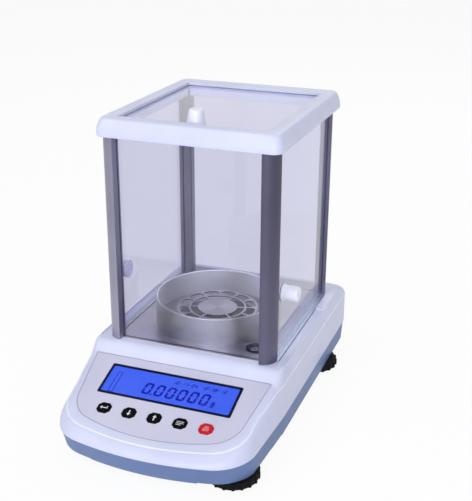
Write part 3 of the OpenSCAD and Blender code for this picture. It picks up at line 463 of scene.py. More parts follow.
# a lid whose rows run straight across from the right half to its mirror image
def lidPart(half):
    grid = np.repeat(half[:, None, :], len(crossing), 1)
    grid[..., 0] = grid[..., 0] * crossing
    return gridPart(grid, wrap=False)


def loftParts(halves):
    grid = np.stack([closedLoop(half) for half in halves])
    return [gridPart(grid), lidPart(halves[0]), lidPart(halves[-1])]


def panelMatrix():
    c, s = math.cos(panel["tilt"]), math.sin(panel["tilt"])
    return np.array([[1, 0, 0, 0], [0, c, -s, panel["y"]], [0, s, c, panel["z"]], [0, 0, 0, 1]])


onPanel = panelMatrix()
overlay = dict(front=171.8, cornerRadius=34.0, cornerX=58.0, cornerY=-129.0, noseRadius=230.0, back=-75.5,
               half=99.8, thick=0.5, gap=0.2)


# right half of the overlay's outline, grown by more
def overlayHalf(more, steps=24):
    o = overlay
    centre = o["noseRadius"] - o["front"]
    joint = math.atan2(o["cornerY"] - centre, o["cornerX"])
    side = math.atan2(o["half"] - o["cornerX"] - o["cornerRadius"], o["back"] - o["cornerY"])
    nose = arcPoints(0, centre, o["noseRadius"] + more, -np.pi / 2, joint, steps)[:-1, :2]
    corner = arcPoints(o["cornerX"], o["cornerY"], o["cornerRadius"] + more, joint, -side, steps)[:, :2]
    return np.concatenate([nose, corner, [[o["half"] + more, o["back"] + more]]])


# from the overlay's seat up past the top of the housing
def overlayCutter():
    half = overlayHalf(overlay["gap"])
    low = np.c_[half, panelAt(half[:, 1]) - overlay["thick"] / math.cos(panel["tilt"])]
    high = np.c_[half, np.full(len(half), 110.0)]
    return joined(loftParts([low, high]))


keys = dict(pitch=28.0, row=40.1, width=14.8, height=13.6, chamfer=3.6, gap=0.3, skirtX=8.6, skirtY=8.0)
display = dict(halfWidth=74.0, halfHeight=21.0, gap=0.2, corner=1.7)
cover = dict(halfWidth=72.0, halfHeight=19.0, corner=0.5, border=0.8, borderCorner=2.2)
columns = dict(inX=80.1, frontY=-45.0, rearY=138.7, radius=15.6, gap=0.1)
deck = dict(half=86.4, front=-53.1, rear=165.7, gap=0.3, seat=84.5, trackOut=97.0, trackSeat=83.0,
            ringY=panCentre[1], holeRadius=20.0)
level = dict(x=65.2, y=-26.5, radius=10.3, gap=0.1)
recess = dict(inner=96.7, outer=106.4, front=-56.0, rear=94.7, floor=84.3, corner=2.0)
# openings in the rear face for the power inlet and the data port: middle x and z, width and height
sockets = ((-60, 47, 34.2, 14.2), (58, 47, 14.2, 12.2))
feet = {"front_left": (-52.0, -130.0), "front_right": (82.4, -139.8), "rear_left": (-92.0, 116.2),
        "rear_right": (92.0, 116.2)}
# heights that a cutter spans to go right through the top of the deck, and through the panel
throughDeck = (60, 100)
throughPanel = (-15, 10)


def octagon(more=0.0):
    w, h, c = keys["width"] / 2 + more, keys["height"] / 2 + more, keys["chamfer"] + more * 0.6
    return [(-w, -h + c), (-w + c, -h), (w - c, -h), (w, -h + c), (w, h - c), (w - c, h), (-w + c, h),
            (-w, h - c)]


# quarter circles with their corner at the inside, grown by more, in the order front right, front left,
# rear right, rear left
def columnOutlines(more):
    a = np.linspace(-np.pi / 2, 0, 20)
    r = columns["radius"] + 2 * more
    x, y = columns["inX"] - more, columns["frontY"] + more
    quarter = np.concatenate([[[x, y]], np.c_[x + r * np.cos(a), y + r * np.sin(a)]])
    rear = quarter * [1, -1] + [0, columns["frontY"] + columns["rearY"]]
    return [quarter, quarter * [-1, 1], rear, rear * [-1, 1]]


half = housingOutline(3)
coarse = housingOutline(1)
angles = np.linspace(0, np.pi / 2, 16)
# the lower edge is drawn in by half a millimetre, which shows the seam as a fine dark line
upperRows = [flatHalf(half, inset, z) for inset, z in ((0.5, 32), (0.12, 32.15), (0, 32.6))]
upperRows += [shoulderHalf(half, 0, 0, a) for a in angles]
upper = solidPiece("upperShellSkin", loftParts(upperRows), whiteAbs, replaced=["upper_shell"])
innerRows = [flatHalf(coarse, shell["wall"], 30)]
innerRows += [shoulderHalf(coarse, shell["wall"], shell["topWall"], a) for a in angles[::3]]
w, front, rear = deck["half"] + deck["gap"], deck["front"] - deck["gap"], deck["rear"] + deck["gap"]
cutters = [joined(loftParts(innerRows)), overlayCutter(),
           prismPart(boxOutline(-w, w, front, rear), deck["seat"], throughDeck[1])]
for side in (-1, 1):
    track = boxOutline(*sideSpan(side, deck["half"], deck["trackOut"]), columns["frontY"], columns["rearY"])
    cutters.append(prismPart(track, deck["trackSeat"], throughDeck[1]))
    groove = roundRect(*sideSpan(side, recess["inner"], recess["outer"]), recess["front"], recess["rear"],
                       recess["corner"])
    cutters.append(prismPart(groove, recess["floor"], throughDeck[1]))
cutters += [prismPart(outline, 80, throughDeck[1]) for outline in columnOutlines(columns["gap"])]
cutters.append(prismPart(circleOutline(0, deck["ringY"], deck["holeRadius"]), *throughDeck))
cutters.append(prismPart(circleOutline(level["x"], level["y"], level["radius"] + level["gap"]), *throughDeck))
w, h = display["halfWidth"] + display["gap"], display["halfHeight"] + display["gap"]
cutters.append(prismPart(roundRect(-w, w, -h, h, display["corner"]), *throughPanel, onPanel))
for k in range(-2, 3):
    keyHole = np.array(octagon(keys["gap"])) + [k * keys["pitch"], -keys["row"]]
    cutters.append(prismPart(keyHole, *throughPanel, onPanel))
for x, z, w, h in sockets:
    cutters.append(prismPart(boxOutline(x - w / 2, x + w / 2, 150, 200), z - h / 2, z + h / 2))
carve(upper, cutters)
print("upper shell carved", len(upper.data.polygons))

# a fine ridge along the shoulder: high beside the keypad, then down onto the side wall beside the deck. It
# follows the crest's height z over y, and round the nose a fixed share of the shoulder's fall. Its section is
# given across the ridge and outwards
crestLine = dict(y=[-119, -104, -86, -65, -38, 0], z=[59.4, 62.4, 66.9, 70.8, 71.6, 70.6], noseShare=0.91)
ridge = [(-1.3, -0.5), (-1.3, 0.0), (-0.6, 0.4), (0, 0.5), (0.6, 0.4), (1.3, 0.0), (1.3, -0.5), (-1.3, -0.5)]
fall = shoulderFall(half)
depth = topAt(half[:, 1]) - np.interp(half[:, 1], crestLine["y"], crestLine["z"])
share = np.where(half[:, 1] < crestLine["y"][0], crestLine["noseShare"],
                 np.clip(1 - depth / fall, 0.02, 0.98))
crest = np.arcsin(share)
spine = closedLoop(shoulderHalf(half, 0, 0, crest))
across = (closedLoop(shoulderHalf(half, 0, 0, crest + 0.02))
          - closedLoop(shoulderHalf(half, 0, 0, crest - 0.02)))
across /= np.linalg.norm(across, axis=1)[:, None]
forward = np.roll(spine, -1, 0) - np.roll(spine, 1, 0)
outward = np.cross(forward, across)
outward /= np.linalg.norm(outward, axis=1)[:, None]
# the ridge is coloured paler than the shell, a painted highlight on top of its glossier finish
solidPiece("shoulderRidge", [gridPart(np.stack([spine + u * across + v * outward for u, v in ridge]))],
           crestGlossAndPaintedHighlight, weld=0.001, smooth=50)

# the tray: how far it leans in from the seam to its base at the sides, more at the nose and along y at the
# rear, the wells over the wheels, the open corners beside the nose, and the holes for foot nuts and screws
tray = dict(base=8.0, sideLean=1.5, noseLean=8.5, rearLean=7.0, wellRadius=30.5, wellTop=10.8, cornerIn=57,
            cornerOut=120, cornerFront=-195, cornerRear=-92.3, nutRadius=6.5, screwRadius=3.7, below=5)
screwSpots = ((88, -152.0), (98.5, 10), (98.5, 174.3))
# its section as inset and height: inner wall, rim with a small step, outer wall, rounded lower edge, floor
trayProfile = [(3.2, 19), (3.8, 32), (1.3, 32), (0.9, 31.7), (0.8, 31.2), (0.5, 24), (0.2, 16), (0, 12)]
trayProfile += [(2.5 * (1 - math.cos(a)), 11 - 3 * math.sin(a)) for a in np.linspace(0, np.pi / 2, 7)]
trayProfile += [(4, 8), (4, 16)]


# half outline of the tray, drawn in by inset and by its lean, which grows from the seam to the base
def trayHalf(half, inset, z):
    t = (shell["seam"] - z) / (shell["seam"] - tray["base"])
    d = inset + t * (tray["sideLean"] + tray["noseLean"] * np.maximum(0, -half[:, 3]))
    y = half[:, 1] - np.where(half[:, 3] > 0, inset, d) * half[:, 3]
    y = y - tray["rearLean"] * t * blend(half[:, 1], "rearStart", "rear")
    return np.c_[half[:, 0] - d * half[:, 2], y, np.full(len(half), float(z))]


trayRows = [trayHalf(half, inset, z) for inset, z in trayProfile]
lower = solidPiece("lowerShellSkin", loftParts(trayRows), blueAbs, replaced=["lower_shell"])
below, wellTop = tray["below"], tray["wellTop"]
cutters = [prismPart(circleOutline(x, y, tray["wellRadius"], 96), below, wellTop) for x, y in feet.values()]
for side in (1, -1):
    corner = boxOutline(*sideSpan(side, tray["cornerIn"], tray["cornerOut"]), tray["cornerFront"],
                        tray["cornerRear"])
    cutters.append(prismPart(corner, below, wellTop))
cutters += [prismPart(circleOutline(x, y, tray["nutRadius"], 48), 12, 25) for x, y in feet.values()]
cutters += [prismPart(circleOutline(side * x, y, tray["screwRadius"], 32), below, 25)
            for side in (-1, 1) for x, y in screwSpots]
carve(lower, cutters)
print("lower shell carved", len(lower.data.polygons))

cap = dict(half=100.0, front=-62.8, rear=163.9, radius=11.0)
capWindow = dict(half=81.3, front=-44.1, rear=140.4, radius=1.2)
# its section as inset and height: from the lower edge up the outside to the top, and down into the window
capOutside = [(0.8, 312), (0.25, 312.2), (0, 312.8), (0, 315.5), (0.2, 318.5), (0.6, 321), (1.2, 323.3),
              (2.0, 325.6), (3.0, 327.8), (4.0, 329.4), (5.0, 330.4), (6.2, 330.9), (7.6, 331)]
capInside = [(1.6, 331), (0.9, 330.85), (0.35, 330.4), (0, 329.6), (0, 313), (0.3, 312.3), (1.0, 312)]
topDoorSlot = dict(half=84.6, front=-47.1, z0=323.7, z1=327.3)
sideDoorSlot = dict(inner=88.2, outer=91.8, front=-48.5, top=316.1)
paneSlot = dict(half=85.2, fronts=(-50.9, 141.4), width=3.2, top=315.2)
# below the frame, and behind it where the doors slide out
capBelow, capBehind = 305, 190


# loops of the top frame: the outer ones drawn in by inset, the inner ones round the window
def capOuter(inset, z):
    loop = roundRect(-cap["half"] + inset, cap["half"] - inset, cap["front"] + inset, cap["rear"] - inset,
                     cap["radius"] - 0.5 * inset, 14)
    return np.c_[loop, np.full(len(loop), float(z))]


def capInner(inset, z):
    loop = roundRect(-capWindow["half"] - inset, capWindow["half"] + inset, capWindow["front"] - inset,
                     capWindow["rear"] + inset, capWindow["radius"] + inset, 14)
    return np.c_[loop, np.full(len(loop), float(z))]


capRows = [capInner(*capInside[-1])]
capRows += [capOuter(inset, z) for inset, z in capOutside]
capRows += [capInner(inset, z) for inset, z in capInside]
capPiece = solidPiece("topFrameSkin", [gridPart(np.stack(capRows))], whiteFrame, replaced=["top_frame"])
slot = topDoorSlot
groove = boxOutline(-slot["half"], slot["half"], slot["front"], capBehind)
cutters = [prismPart(groove, slot["z0"], slot["z1"])]
slot = sideDoorSlot
for side in (-1, 1):
    groove = boxOutline(*sideSpan(side, slot["inner"], slot["outer"]), slot["front"], capBehind)
    cutters.append(prismPart(groove, capBelow, slot["top"]))
slot = paneSlot
for y in slot["fronts"]:
    groove = boxOutline(-slot["half"], slot["half"], y, y + slot["width"])
    cutters.append(prismPart(groove, capBelow, slot["top"]))
cutters += [prismPart(outline, capBelow, 320) for outline in columnOutlines(columns["gap"])]
carve(capPiece, cutters)
print("top frame carved", len(capPiece.data.polygons))


wheel = dict(radius=27.5, root=26.06, ribRadius=1.8, ribs=18, z=2.3, thick=8.0, stemTop=26.0)


# a wheel with fine ribs: the outline is the larger of the root circle and of the circles of the ribs
def ribbedWheel(name, x, y, body, node):
    w, steps = wheel, wheel["ribs"] * 24
    a = np.linspace(0, 2 * np.pi, steps, endpoint=False)
    pitch = 2 * np.pi / w["ribs"]
    off = np.mod(a, pitch) - pitch / 2
    ribC = w["radius"] - w["ribRadius"]
    reach = np.clip(w["ribRadius"] ** 2 - (ribC * np.sin(off)) ** 2, 0, None)
    outline = np.maximum(w["root"], np.where(reach > 0, ribC * np.cos(off) + np.sqrt(reach), 0))
    low, high = w["z"], w["z"] + w["thick"]
    rows = [(0.001, low + 5), (3.05, low + 5), (3.05, low)]
    for inset, z in [(1.2, low), (0.5, low + 0.15), (0.12, low + 0.5), (0, low + 1.1), (0, high - 1.2),
                     (0.12, high - 0.5), (0.5, high - 0.15), (1.3, high)]:
        rows.append((outline - inset, z))
    rows += [(21, high), (20.4, high - 0.6), (9.6, high - 0.8), (9, high), (4.4, high), (4, high + 0.5),
             (4, w["stemTop"] - 0.6), (3.4, w["stemTop"]), (0.001, w["stemTop"])]
    grid = np.stack([np.stack([x + r * np.cos(a), y + r * np.sin(a), np.full(steps, z)], -1)
                     for r, z in rows])
    return solidPiece(name, [gridPart(grid)], blackAbs, body=body, replaced=[node],
                      weld=0.01)


for name, (x, y) in feet.items():
    word = name.replace("_l", "L").replace("_r", "R")
    ribbedWheel(word + "WheelRibbed", x, y, name + "_levelling_wheel", name + "_wheel")
print("wheels made")


# a knob turned round its axis: flange, neck, barrel with a small draft and a dished end
sideKnob = [(0.001, 0), (9.2, 0), (9.5, 0.25), (9.5, 1.0), (9.2, 1.25), (8.7, 1.3), (8.45, 1.6), (8.5, 3),
            (8.45, 15.2), (8.3, 16.4), (7.8, 17.2), (7.0, 17.5), (6.2, 17.45), (4.0, 17.15), (0.001, 17.0)]
sideKnobSpot = dict(x=91.5, y=-18.0, z=152.5)
for side, word, axis in ((1, "right", "x"), (-1, "left", "-x")):
    centre = (side * sideKnobSpot["x"], sideKnobSpot["y"], sideKnobSpot["z"])
    solidPiece(word + "DoorKnobTurned", [turnedPart(sideKnob, centre, axis=axis)], knobAbs,
               body=word + "_sliding_door", replaced=[word + "_door_knob"])
topKnob = [(0.001, 0), (9.7, 0), (10.0, 0.3), (10.0, 0.9), (9.8, 1.2), (9.2, 3.5), (8.4, 8), (7.55, 12.6),
           (7.2, 13.9), (6.6, 14.7), (5.9, 15.0), (4.8, 14.95), (3.0, 14.6), (0.001, 14.45)]
topKnobSpot = (0, -30, 327)
solidPiece("topDoorKnobTurned", [turnedPart(topKnob, topKnobSpot)], knobAbs, body="top_sliding_door",
           replaced=["top_door_knob"])
print("knobs made")


# a key with a crowned top: the octagon drawn in step by step towards its middle
def crownedKey(node, k, body, material):
    outline = np.array(octagon())
    outline = np.concatenate([outline, outline[:1]])
    t = np.linspace(0, 1, 6)[:-1, None]
    outline = np.concatenate([a + (b - a) * t for a, b in zip(outline[:-1], outline[1:])])
    rows = []
    for shrink, z in [(0, -5.3), (0, 0.0), (0.01, 0.18), (0.035, 0.32), (0.07, 0.39), (0.13, 0.4),
                      (0.45, 0.36), (0.75, 0.33), (0.9999, 0.32)]:
        rows.append(np.c_[outline * (1 - shrink), np.full(len(outline), z)])
    skirt = np.array(boxOutline(-keys["skirtX"], keys["skirtX"], -keys["skirtY"], keys["skirtY"]))
    points = np.stack(rows)
    points = points + [k * keys["pitch"], -keys["row"], 0]
    grid = points.reshape(-1, 3) @ onPanel[:3, :3].T + onPanel[:3, 3]
    top = (grid, gridFaces(points.shape[0], points.shape[1]) + [tuple(range(points.shape[1]))[::-1]])
    foot = prismPart(skirt + [k * keys["pitch"], -keys["row"]], -5.8, -4.7, onPanel)
    return solidPiece(node.replace("_k", "K") + "Crowned", [top, foot], material, body=body, replaced=[node])


keyNames = ["enter", "down", "up", "menu", "power"]
for k, word in zip(range(-2, 3), keyNames):
    crownedKey(word + "_key", k, word + "_button", keyRed if word == "power" else keyBlack)
print("keys made")

whiteInk = mouldedPlastic("whiteKeyPrint", "#e8e8ec", "#dedee4", roughness=0.5, grain=0.3)
pinkInk = mouldedPlastic("paleKeyPrint", "#f3c8c6", "#eebdbb", roughness=0.5, grain=0.3)


# a stroke of even width between two points
def stroke(p, q, width=0.42):
    p, q = np.array(p, float), np.array(q, float)
    along = (q - p) / np.linalg.norm(q - p) * width / 2
    across = np.array([-along[1], along[0]])
    return np.array([p - along - across, q + along - across, q + along + across, p - along + across])


letters = {"O": [(0, 0, 1.3, 0), (1.3, 0, 1.3, 2), (1.3, 2, 0, 2), (0, 2, 0, 0)],
           "N": [(0, 0, 0, 2), (0, 2, 1.3, 0), (1.3, 0, 1.3, 2)],
           "F": [(0, 0, 0, 2), (0, 2, 1.3, 2), (0, 1.05, 1.1, 1.05)]}


# flat shapes on the panel, moved by u and v, from lift to lift + high above it
def printedPiece(name, shapes, u, v, lift, material, body, high=0.06):
    parts = [prismPart(np.asarray(shape, float) + [u, v], lift, lift + high, onPanel) for shape in shapes]
    return solidPiece(name, parts, material, body=body, weld=0.0005)


keyPrints = {
    "enter": [boxOutline(-3.6, 2.6, -0.5, 0.5), boxOutline(2.6, 3.5, -0.5, 2.6),
              [(-4.6, 0), (-2.4, -1.9), (-2.4, 1.9)]],
    "down": [boxOutline(-0.6, 0.6, -1, 3.4), [(-2.2, -0.8), (0, -3.6), (2.2, -0.8)]],
    "up": [boxOutline(-0.6, 0.6, -3.4, 1), [(2.2, 0.8), (0, 3.6), (-2.2, 0.8)]],
    "menu": [boxOutline(-4, 4, 1.6, 2.3), boxOutline(-4, 4, -0.35, 0.35), boxOutline(-4, 1.6, -2.3, -1.6)],
}
keyPrints["power"] = [stroke((-3.3, 0), (3.3, 0), 0.3)]
for text, left, foot in (("ON", -1.75, 0.9), ("OFF", -2.85, -2.9)):
    for k, letter in enumerate(text):
        keyPrints["power"] += [stroke((left + 2.2 * k + a, foot + b), (left + 2.2 * k + c, foot + d))
                               for a, b, c, d in letters[letter]]
for k, word in zip(range(-2, 3), keyNames):
    printedPiece(word + "KeyPrint", keyPrints[word], k * keys["pitch"], -keys["row"], 0.34,
                 pinkInk if word == "power" else whiteInk, word + "_button", 0.09)


# a closed ring of constant width between two outlines with the same number of points
def ringPart(outer, inside, z0, z1, place=None):
    outer, inside = np.asarray(outer, float), np.asarray(inside, float)
    n = len(outer)
    loops = [np.c_[outer, np.full(n, z0)], np.c_[outer, np.full(n, z1)], np.c_[inside, np.full(n, z1)],
             np.c_[inside, np.full(n, z0)], np.c_[outer, np.full(n, z0)]]
    points, faces = gridPart(np.stack(loops))
    if place is not None:
        points = points @ place[:3, :3].T + place[:3, 3]
    return points, faces


# seven-bar figures with mitred ends and cut corners, leaned over by the slant
figures = dict(width=9.2, height=15.8, bar=2.5, slant=0.11)
barSets = {"0": "abcdef", "1": "bc", "2": "abged", "3": "abgcd", "4": "fgbc", "8": "abcdefg", "-": "g"}


def barShapes(character, u, v, size, thin=1.0):
    w, h, t = figures["width"] * size, figures["height"] * size, figures["bar"] * size * thin
    c, g, k, j = t * 0.5, 0.04 * t, t * 0.7, t * 0.35
    bars = {
        "a": [(k + g, h), (w - k - g, h), (w - j - g, h - j), (w - t - g, h - t), (t + g, h - t),
              (j + g, h - j)],
        "d": [(k + g, 0), (j + g, j), (t + g, t), (w - t - g, t), (w - j - g, j), (w - k - g, 0)],
        "g": [(c, h / 2), (t, h / 2 + c), (w - t, h / 2 + c), (w - c, h / 2), (w - t, h / 2 - c),
              (t, h / 2 - c)],
        "f": [(0, h - k - g), (j, h - j - g), (t, h - t - g), (t, h / 2 + c), (0, h / 2 + g)],
        "e": [(0, k + g), (0, h / 2 - g), (t, h / 2 - c), (t, t + g), (j, j + g)],
        "b": [(w, h - k - g), (w, h / 2 + g), (w - t, h / 2 + c), (w - t, h - t - g), (w - j, h - j - g)],
        "c": [(w, k + g), (w - j, j + g), (w - t, t + g), (w - t, h / 2 - c), (w, h / 2 - g)]}
    shapes = []
    for name in barSets[character]:
        points = np.array(bars[name])
        points[:, 0] += points[:, 1] * figures["slant"]
        shapes.append(points + [u, v])
    return shapes


def dotShape(u, v, size):
    return [np.array([(0, 0), (size, 0), (size * 1.1, size), (size * 0.1, size)]) + [u, v]]


# lit display: an even blue light, brightest a little left of its middle and darker outwards, with a faint
# grid of pixels
lcdBlue, tree, surface, place = newMaterial("litLcdBlue", Roughness=0.3)
glowPlace = addNode(tree, "ShaderNodeMapping", {"Location": (0.02, 0.11, 0)}, {"Vector": place})
spot = addNode(tree, "ShaderNodeVectorMath", {"operation": "LENGTH"}, {0: glowPlace.outputs[0]})
dimming = addNode(tree, "ShaderNodeMapRange",
                  {"From Min": 0.02, "From Max": 0.16, "To Min": 0.0, "To Max": 1.0},
                  {"Value": spot.outputs["Value"]})
blue = addNode(tree, "ShaderNodeMix", {"data_type": "RGBA", 6: hexLinear("#4a70fa"), 7: hexLinear("#3c60e6")},
               {0: dimming.outputs[0]})
pixels = addNode(tree, "ShaderNodeTexVoronoi", {"Scale": 1 / (0.9 * mm), "Randomness": 0.0},
                 {"Vector": place})
grid = addNode(tree, "ShaderNodeMapRange", {"From Min": 0.3, "From Max": 0.5, "To Min": 0.0, "To Max": 0.06},
               {"Value": pixels.outputs["Distance"]})
dotted = addNode(tree, "ShaderNodeMix", {"data_type": "RGBA", 7: hexLinear("#3050cc")},
                 {0: grid.outputs[0], 6: blue.outputs[2]})
tree.links.new(dotted.outputs[2], surface.inputs["Emission Color"])
surface.inputs["Base Color"].default_value = hexLinear("#0c1450")
surface.inputs["Specular IOR Level"].default_value = 0.1
surface.inputs["Emission Strength"].default_value = 0.9
# dark segments: navy that still glows a little with the light behind it
lcdInk, tree, surface, place = newMaterial("lcdSegmentInk", Roughness=0.4)
shade = addNode(tree, "ShaderNodeTexNoise", {"Scale": 1 / (2 * mm)}, {"Vector": place})
ink = addNode(tree, "ShaderNodeMix", {"data_type": "RGBA", 6: hexLinear("#0d1076"), 7: hexLinear("#14178a")},
              {0: shade.outputs["Fac"]})
tree.links.new(ink.outputs[2], surface.inputs["Base Color"])
tree.links.new(ink.outputs[2], surface.inputs["Emission Color"])
surface.inputs["Specular IOR Level"].default_value = 0.05
surface.inputs["Emission Strength"].default_value = 0.5

figureShapes = []
for k, u in enumerate((-28.7, -15.2, -2.7, 9.8, 22.3, 34.8)):
    figureShapes += barShapes("0", u, -11.4, 1.0)
figureShapes += dotShape(-18.6, -11.4, 1.9)
# the unit: a round bowl with a tail below the line
bowl = [(1.9 + 1.5 * math.cos(t), -5.0 + 1.6 * math.sin(t)) for t in np.linspace(0, 2 * math.pi, 9)]
tail = [(3.4, -3.2), (3.1, -8.4), (1.6, -9.6), (0.1, -8.9)]
for path in (bowl, tail):
    figureShapes += [stroke(a, b, 1.25) + np.array([48.4, -2.0]) for a, b in zip(path[:-1], path[1:])]
printedPiece("displayFigures", figureShapes, 0, 0, -1.02, lcdInk, "housing", 0.1)
smallShapes = []
for text, start in (("12-11-24", -0.6), ("12-38-12", 32.0)):
    for k, character in enumerate(text):
        smallShapes += barShapes(character, start + 3.4 * k, 9.3, 0.29, 1.25)
printedPiece("displaySmallFigures", smallShapes, 0, 0, -1.02, lcdInk, "housing", 0.1)
gauge = boxOutline(-64, -58.6, -17, 11.5)
gaugeInside = boxOutline(-63.3, -59.3, -16.3, 10.8)
solidPiece("displayGauge", [ringPart(gauge, gaugeInside, -1.02, -0.92, onPanel)], lcdInk,
           weld=0.0005)
# the cover's section as inset and height, from the middle of its underside round the edge to the middle of
# its top: a middle is an inset that closes the outline to a line
w, h = cover["halfWidth"], cover["halfHeight"]
coverRows = []
for inset, z in ((40, -0.5), (0.3, -0.5), (0.02, -0.45), (0.02, 0.05), (0.1, 0.16), (0.3, 0.2), (40, 0.2)):
    inX, inY = min(inset, h), min(inset, h - 0.01)
    radius = max(0.004, cover["corner"] - min(inset, 0.496))
    edge = roundRect(-w + inX, w - inX, -h + inY, h - inY, radius, 6)
    coverRows.append(np.c_[edge, np.full(len(edge), z)] @ onPanel[:3, :3].T + onPanel[:3, 3])
solidPiece("displayCoverSkin", [gridPart(np.stack(coverRows))], displayGlass, replaced=["display_window"])
borderOuter = roundRect(-w, w, -h, h, cover["corner"], 6)
w, h = w - cover["border"], h - cover["border"]
borderInner = roundRect(-w, w, -h, h, cover["borderCorner"], 6)
solidPiece("displayBorderPrint", [ringPart(borderOuter, borderInner, 0.21, 0.27, onPanel)], bezelGloss,
           weld=0.0005)
print("display made")

# a fine grey line just inside the overlay's edge
rimOuter, rimInner = overlayHalf(-0.1), overlayHalf(-0.75)
rimLoops = []
for rimEdge, lift in ((rimOuter, 0.0), (rimOuter, 0.05), (rimInner, 0.05), (rimInner, 0.0), (rimOuter, 0.0)):
    rimLoops.append(closedLoop(np.c_[rimEdge, panelAt(rimEdge[:, 1]) + lift]))
solidPiece("overlayRimLine", [gridPart(np.stack(rimLoops))], overlayEdgeGrey, weld=0.0005)

# the level: an air bubble just off the middle, a pale dial below it, a ring mark on the glass and a dark ring
# in the shade of the cup's rim
bubbleAir = clearGlass("levelBubbleAir", "#f4f7f2", ior=1.1)
bubble = turnedPart([(0.001, 0.9), (1.2, 0.75), (1.9, 0.35), (2.2, -0.2), (1.9, -0.6), (0.001, -0.8)],
                    (level["x"] + 0.6, level["y"] - 0.4, 85.2), 48)
solidPiece("levelBubble", [bubble], bubbleAir)
dial = turnedPart([(0.001, 82.0), (7.7, 82.0), (7.7, 82.6), (0.001, 82.6)], (level["x"], level["y"], 0), 64)
solidPiece("levelDialDisc", [dial], dialPaint)
ringMark = turnedPart([(3.2, 0.0), (3.2, 0.06), (3.5, 0.06), (3.5, 0.0), (3.2, 0.0)],
                      (level["x"], level["y"], 86.62), 48)
solidPiece("levelRingMark", [ringMark], blackAbs, weld=0.0005)
shadeRing = turnedPart([(5.4, 83.6), (7.7, 83.6), (7.7, 83.9), (5.4, 83.9), (5.4, 83.6)],
                       (level["x"], level["y"], 0), 64)
solidPiece("levelShadeRing", [shadeRing], blackAbs)
print("small pieces made")

# the front left column takes the painted light copy of the aluminium, the front right one the painted shade
# copy
nodeMaterials = {
    "housing_screws": zincSteel, "column_screws": zincSteel, "lever_pin": zincSteel, "deck_plate": deckSteel,
    "left_door_track": trackAlu, "right_door_track": trackAlu, "keypad_overlay": overlayFilm,
    "display_bezel": bezelGloss, "lcd_module": lcdBlue, "key_board": boardMask,
    "main_board": boardMask, "power_inlet": blackAbs, "data_port": blackAbs, "level_cup": blackAbs,
    "level_vial": vialGlass, "front_left_column": columnPaintedLight, "front_right_column": columnPaintedShade,
    "rear_left_column": columnAlu, "rear_right_column": columnAlu, "front_glass": shieldGlass,
    "rear_glass": backGlass, "left_door": backGlass, "right_door": sideGlass, "top_door": topGlass,
    "left_knob_disc": discAbs, "right_knob_disc": discAbs, "top_knob_disc": discAbs, "wind_ring": ringSteel,
    "floor_plate": floorSteel, "weighing_pan": panSteel, "pan_carrier": cellAlu, "cell_frame": cellAlu,
    "cell_hanger": cellAlu, "cell_lever": cellAlu, "upper_guide": springBrass, "lower_guide": springBrass,
    "cell_coil": coilWire, "magnet_pot": castIron, "foot_nuts": springBrass,
    "front_left_pad": rubber, "front_right_pad": rubber, "rear_left_pad": rubber, "rear_right_pad": rubber,
}


# the objects of a node, which the frame gives as one object or as a list
def nodePieces(name):
    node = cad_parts[name]
    return node if isinstance(node, (list, tuple)) else [node]


for name, material in nodeMaterials.items():
    for piece in nodePieces(name):
        piece.data.materials.clear()
        piece.data.materials.append(material)
# thin panes throw no shadow worth seeing, and without one the deck behind them stays bright
for name in ("front_glass", "rear_glass", "left_door", "right_door", "top_door"):
    for piece in nodePieces(name):
        piece.visible_shadow = False
print("nodes dressed")


# 1 for rays that reach the camera straight, through glass or by a mirror, else 0
def seenDirectly(tree):
    path = addNode(tree, "ShaderNodeLightPath")
    plain = addNode(tree, "ShaderNodeMath", {"operation": "MAXIMUM"},
                    {0: path.outputs["Is Camera Ray"], 1: path.outputs["Is Transmission Ray"]})
    return addNode(tree, "ShaderNodeMath", {"operation": "MAXIMUM"},
                   {0: plain.outputs[0], 1: path.outputs["Is Glossy Ray"]})


# the floor: pale board that keeps the shadow but reads as a white studio sweep to the camera
floorMesh = bpy.data.meshes.new("studioFloor")
floorMesh.from_pydata([(-30, -30, 0), (30, -30, 0), (30, 30, 0), (-30, 30, 0)], [], [(0, 1, 2, 3)])
floor = bpy.data.objects.new("studioFloor", floorMesh)
bpy.context.scene.collection.objects.link(floor)
floorMaterial = bpy.data.materials.new("paleStudioBoard")
floorMaterial.use_nodes = True
tree = floorMaterial.node_tree
tree.nodes.clear()
board = addNode(tree, "ShaderNodeBsdfDiffuse", {"Color": hexLinear("#f4f4f6")})
white = addNode(tree, "ShaderNodeEmission", {"Color": (1, 1, 1, 1), "Strength": 1.02})
share = addNode(tree, "ShaderNodeMath", {"operation": "MULTIPLY", 1: 0.9}, {0: seenDirectly(tree).outputs[0]})
mixed = addNode(tree, "ShaderNodeMixShader", None,
                {0: share.outputs[0], 1: board.outputs[0], 2: white.outputs[0]})
addNode(tree, "ShaderNodeOutputMaterial", None, {"Surface": mixed.outputs[0]})
floorMesh.materials.append(floorMaterial)

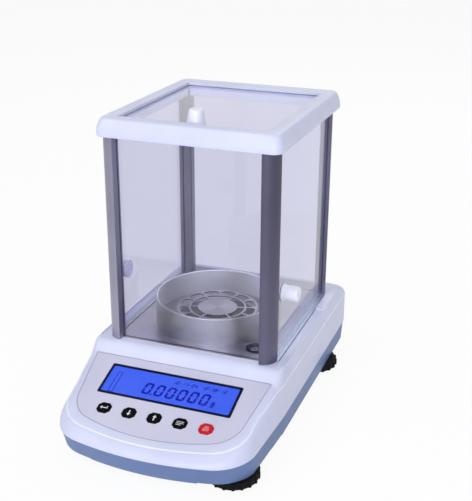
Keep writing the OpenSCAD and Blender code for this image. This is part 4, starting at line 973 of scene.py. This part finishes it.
world = bpy.data.worlds.new("studioWorld")
bpy.context.scene.world = world
world.use_nodes = True
tree = world.node_tree
tree.nodes.clear()
seen = seenDirectly(tree)
tone = addNode(tree, "ShaderNodeMix", {"data_type": "RGBA", 6: hexLinear("#c9ccd8"), 7: (1, 1, 1, 1)},
               {0: seen.outputs[0]})
strength = addNode(tree, "ShaderNodeMapRange", {"To Min": 0.55, "To Max": 1.0}, {"Value": seen.outputs[0]})
sky = addNode(tree, "ShaderNodeBackground", None, {"Color": tone.outputs[2], "Strength": strength.outputs[0]})
addNode(tree, "ShaderNodeOutputWorld", None, {"Surface": sky.outputs[0]})

lamps = dict(
    keyLamp=dict(spot=(-1.0, -1.1, 1.9), size=(1.3, 1.3), power=12, colour="#ffffff"),
    fillLamp=dict(spot=(0.6, -2.2, 0.8), size=(1.7, 1.5), power=29, colour="#f4f6ff"),
    sideLamp=dict(spot=(1.9, -1.3, 1.3), size=(0.5, 0.7), power=5, colour="#ffffff"),
    backLamp=dict(spot=(0.3, 1.7, 1.6), size=(1.6, 0.9), power=10, colour="#ffffff"),
)
for name, lamp in lamps.items():
    light = bpy.data.lights.new(name, "AREA")
    light.shape = "RECTANGLE"
    light.size, light.size_y = lamp["size"]
    light.energy = lamp["power"]
    light.color = hexLinear(lamp["colour"])[:3]
    lampObject = bpy.data.objects.new(name, light)
    bpy.context.scene.collection.objects.link(lampObject)
    lampObject.location = lamp["spot"]
    aim = Vector((0, 0, 0.15)) - Vector(lamp["spot"])
    lampObject.rotation_euler = aim.to_track_quat("-Z", "Y").to_euler()

# the photograph's camera: angles in degrees, lens in millimetres, place in metres
camera = dict(azimuth=20.452, elevation=21.531, roll=0.317, lens=67.52, spot=(0.3592, -0.8775, 0.5536))
a, e, roll = (math.radians(camera[k]) for k in ("azimuth", "elevation", "roll"))
back = Vector((math.sin(a) * math.cos(e), -math.cos(a) * math.cos(e), math.sin(e)))
right = Vector((math.cos(a), math.sin(a), 0))
up = back.cross(right)
rightRolled = math.cos(roll) * right + math.sin(roll) * up
upRolled = -math.sin(roll) * right + math.cos(roll) * up
lensData = bpy.data.cameras.new("photoCamera")
lensData.sensor_width = 36
lensData.lens = camera["lens"]
photoCamera = bpy.data.objects.new("photoCamera", lensData)
bpy.context.scene.collection.objects.link(photoCamera)
turn = Matrix((rightRolled, upRolled, back)).transposed().to_4x4()
turn.translation = Vector(camera["spot"])
photoCamera.matrix_world = turn
bpy.context.scene.camera = photoCamera
bpy.context.scene.view_settings.view_transform = "Standard"
print("studio set")
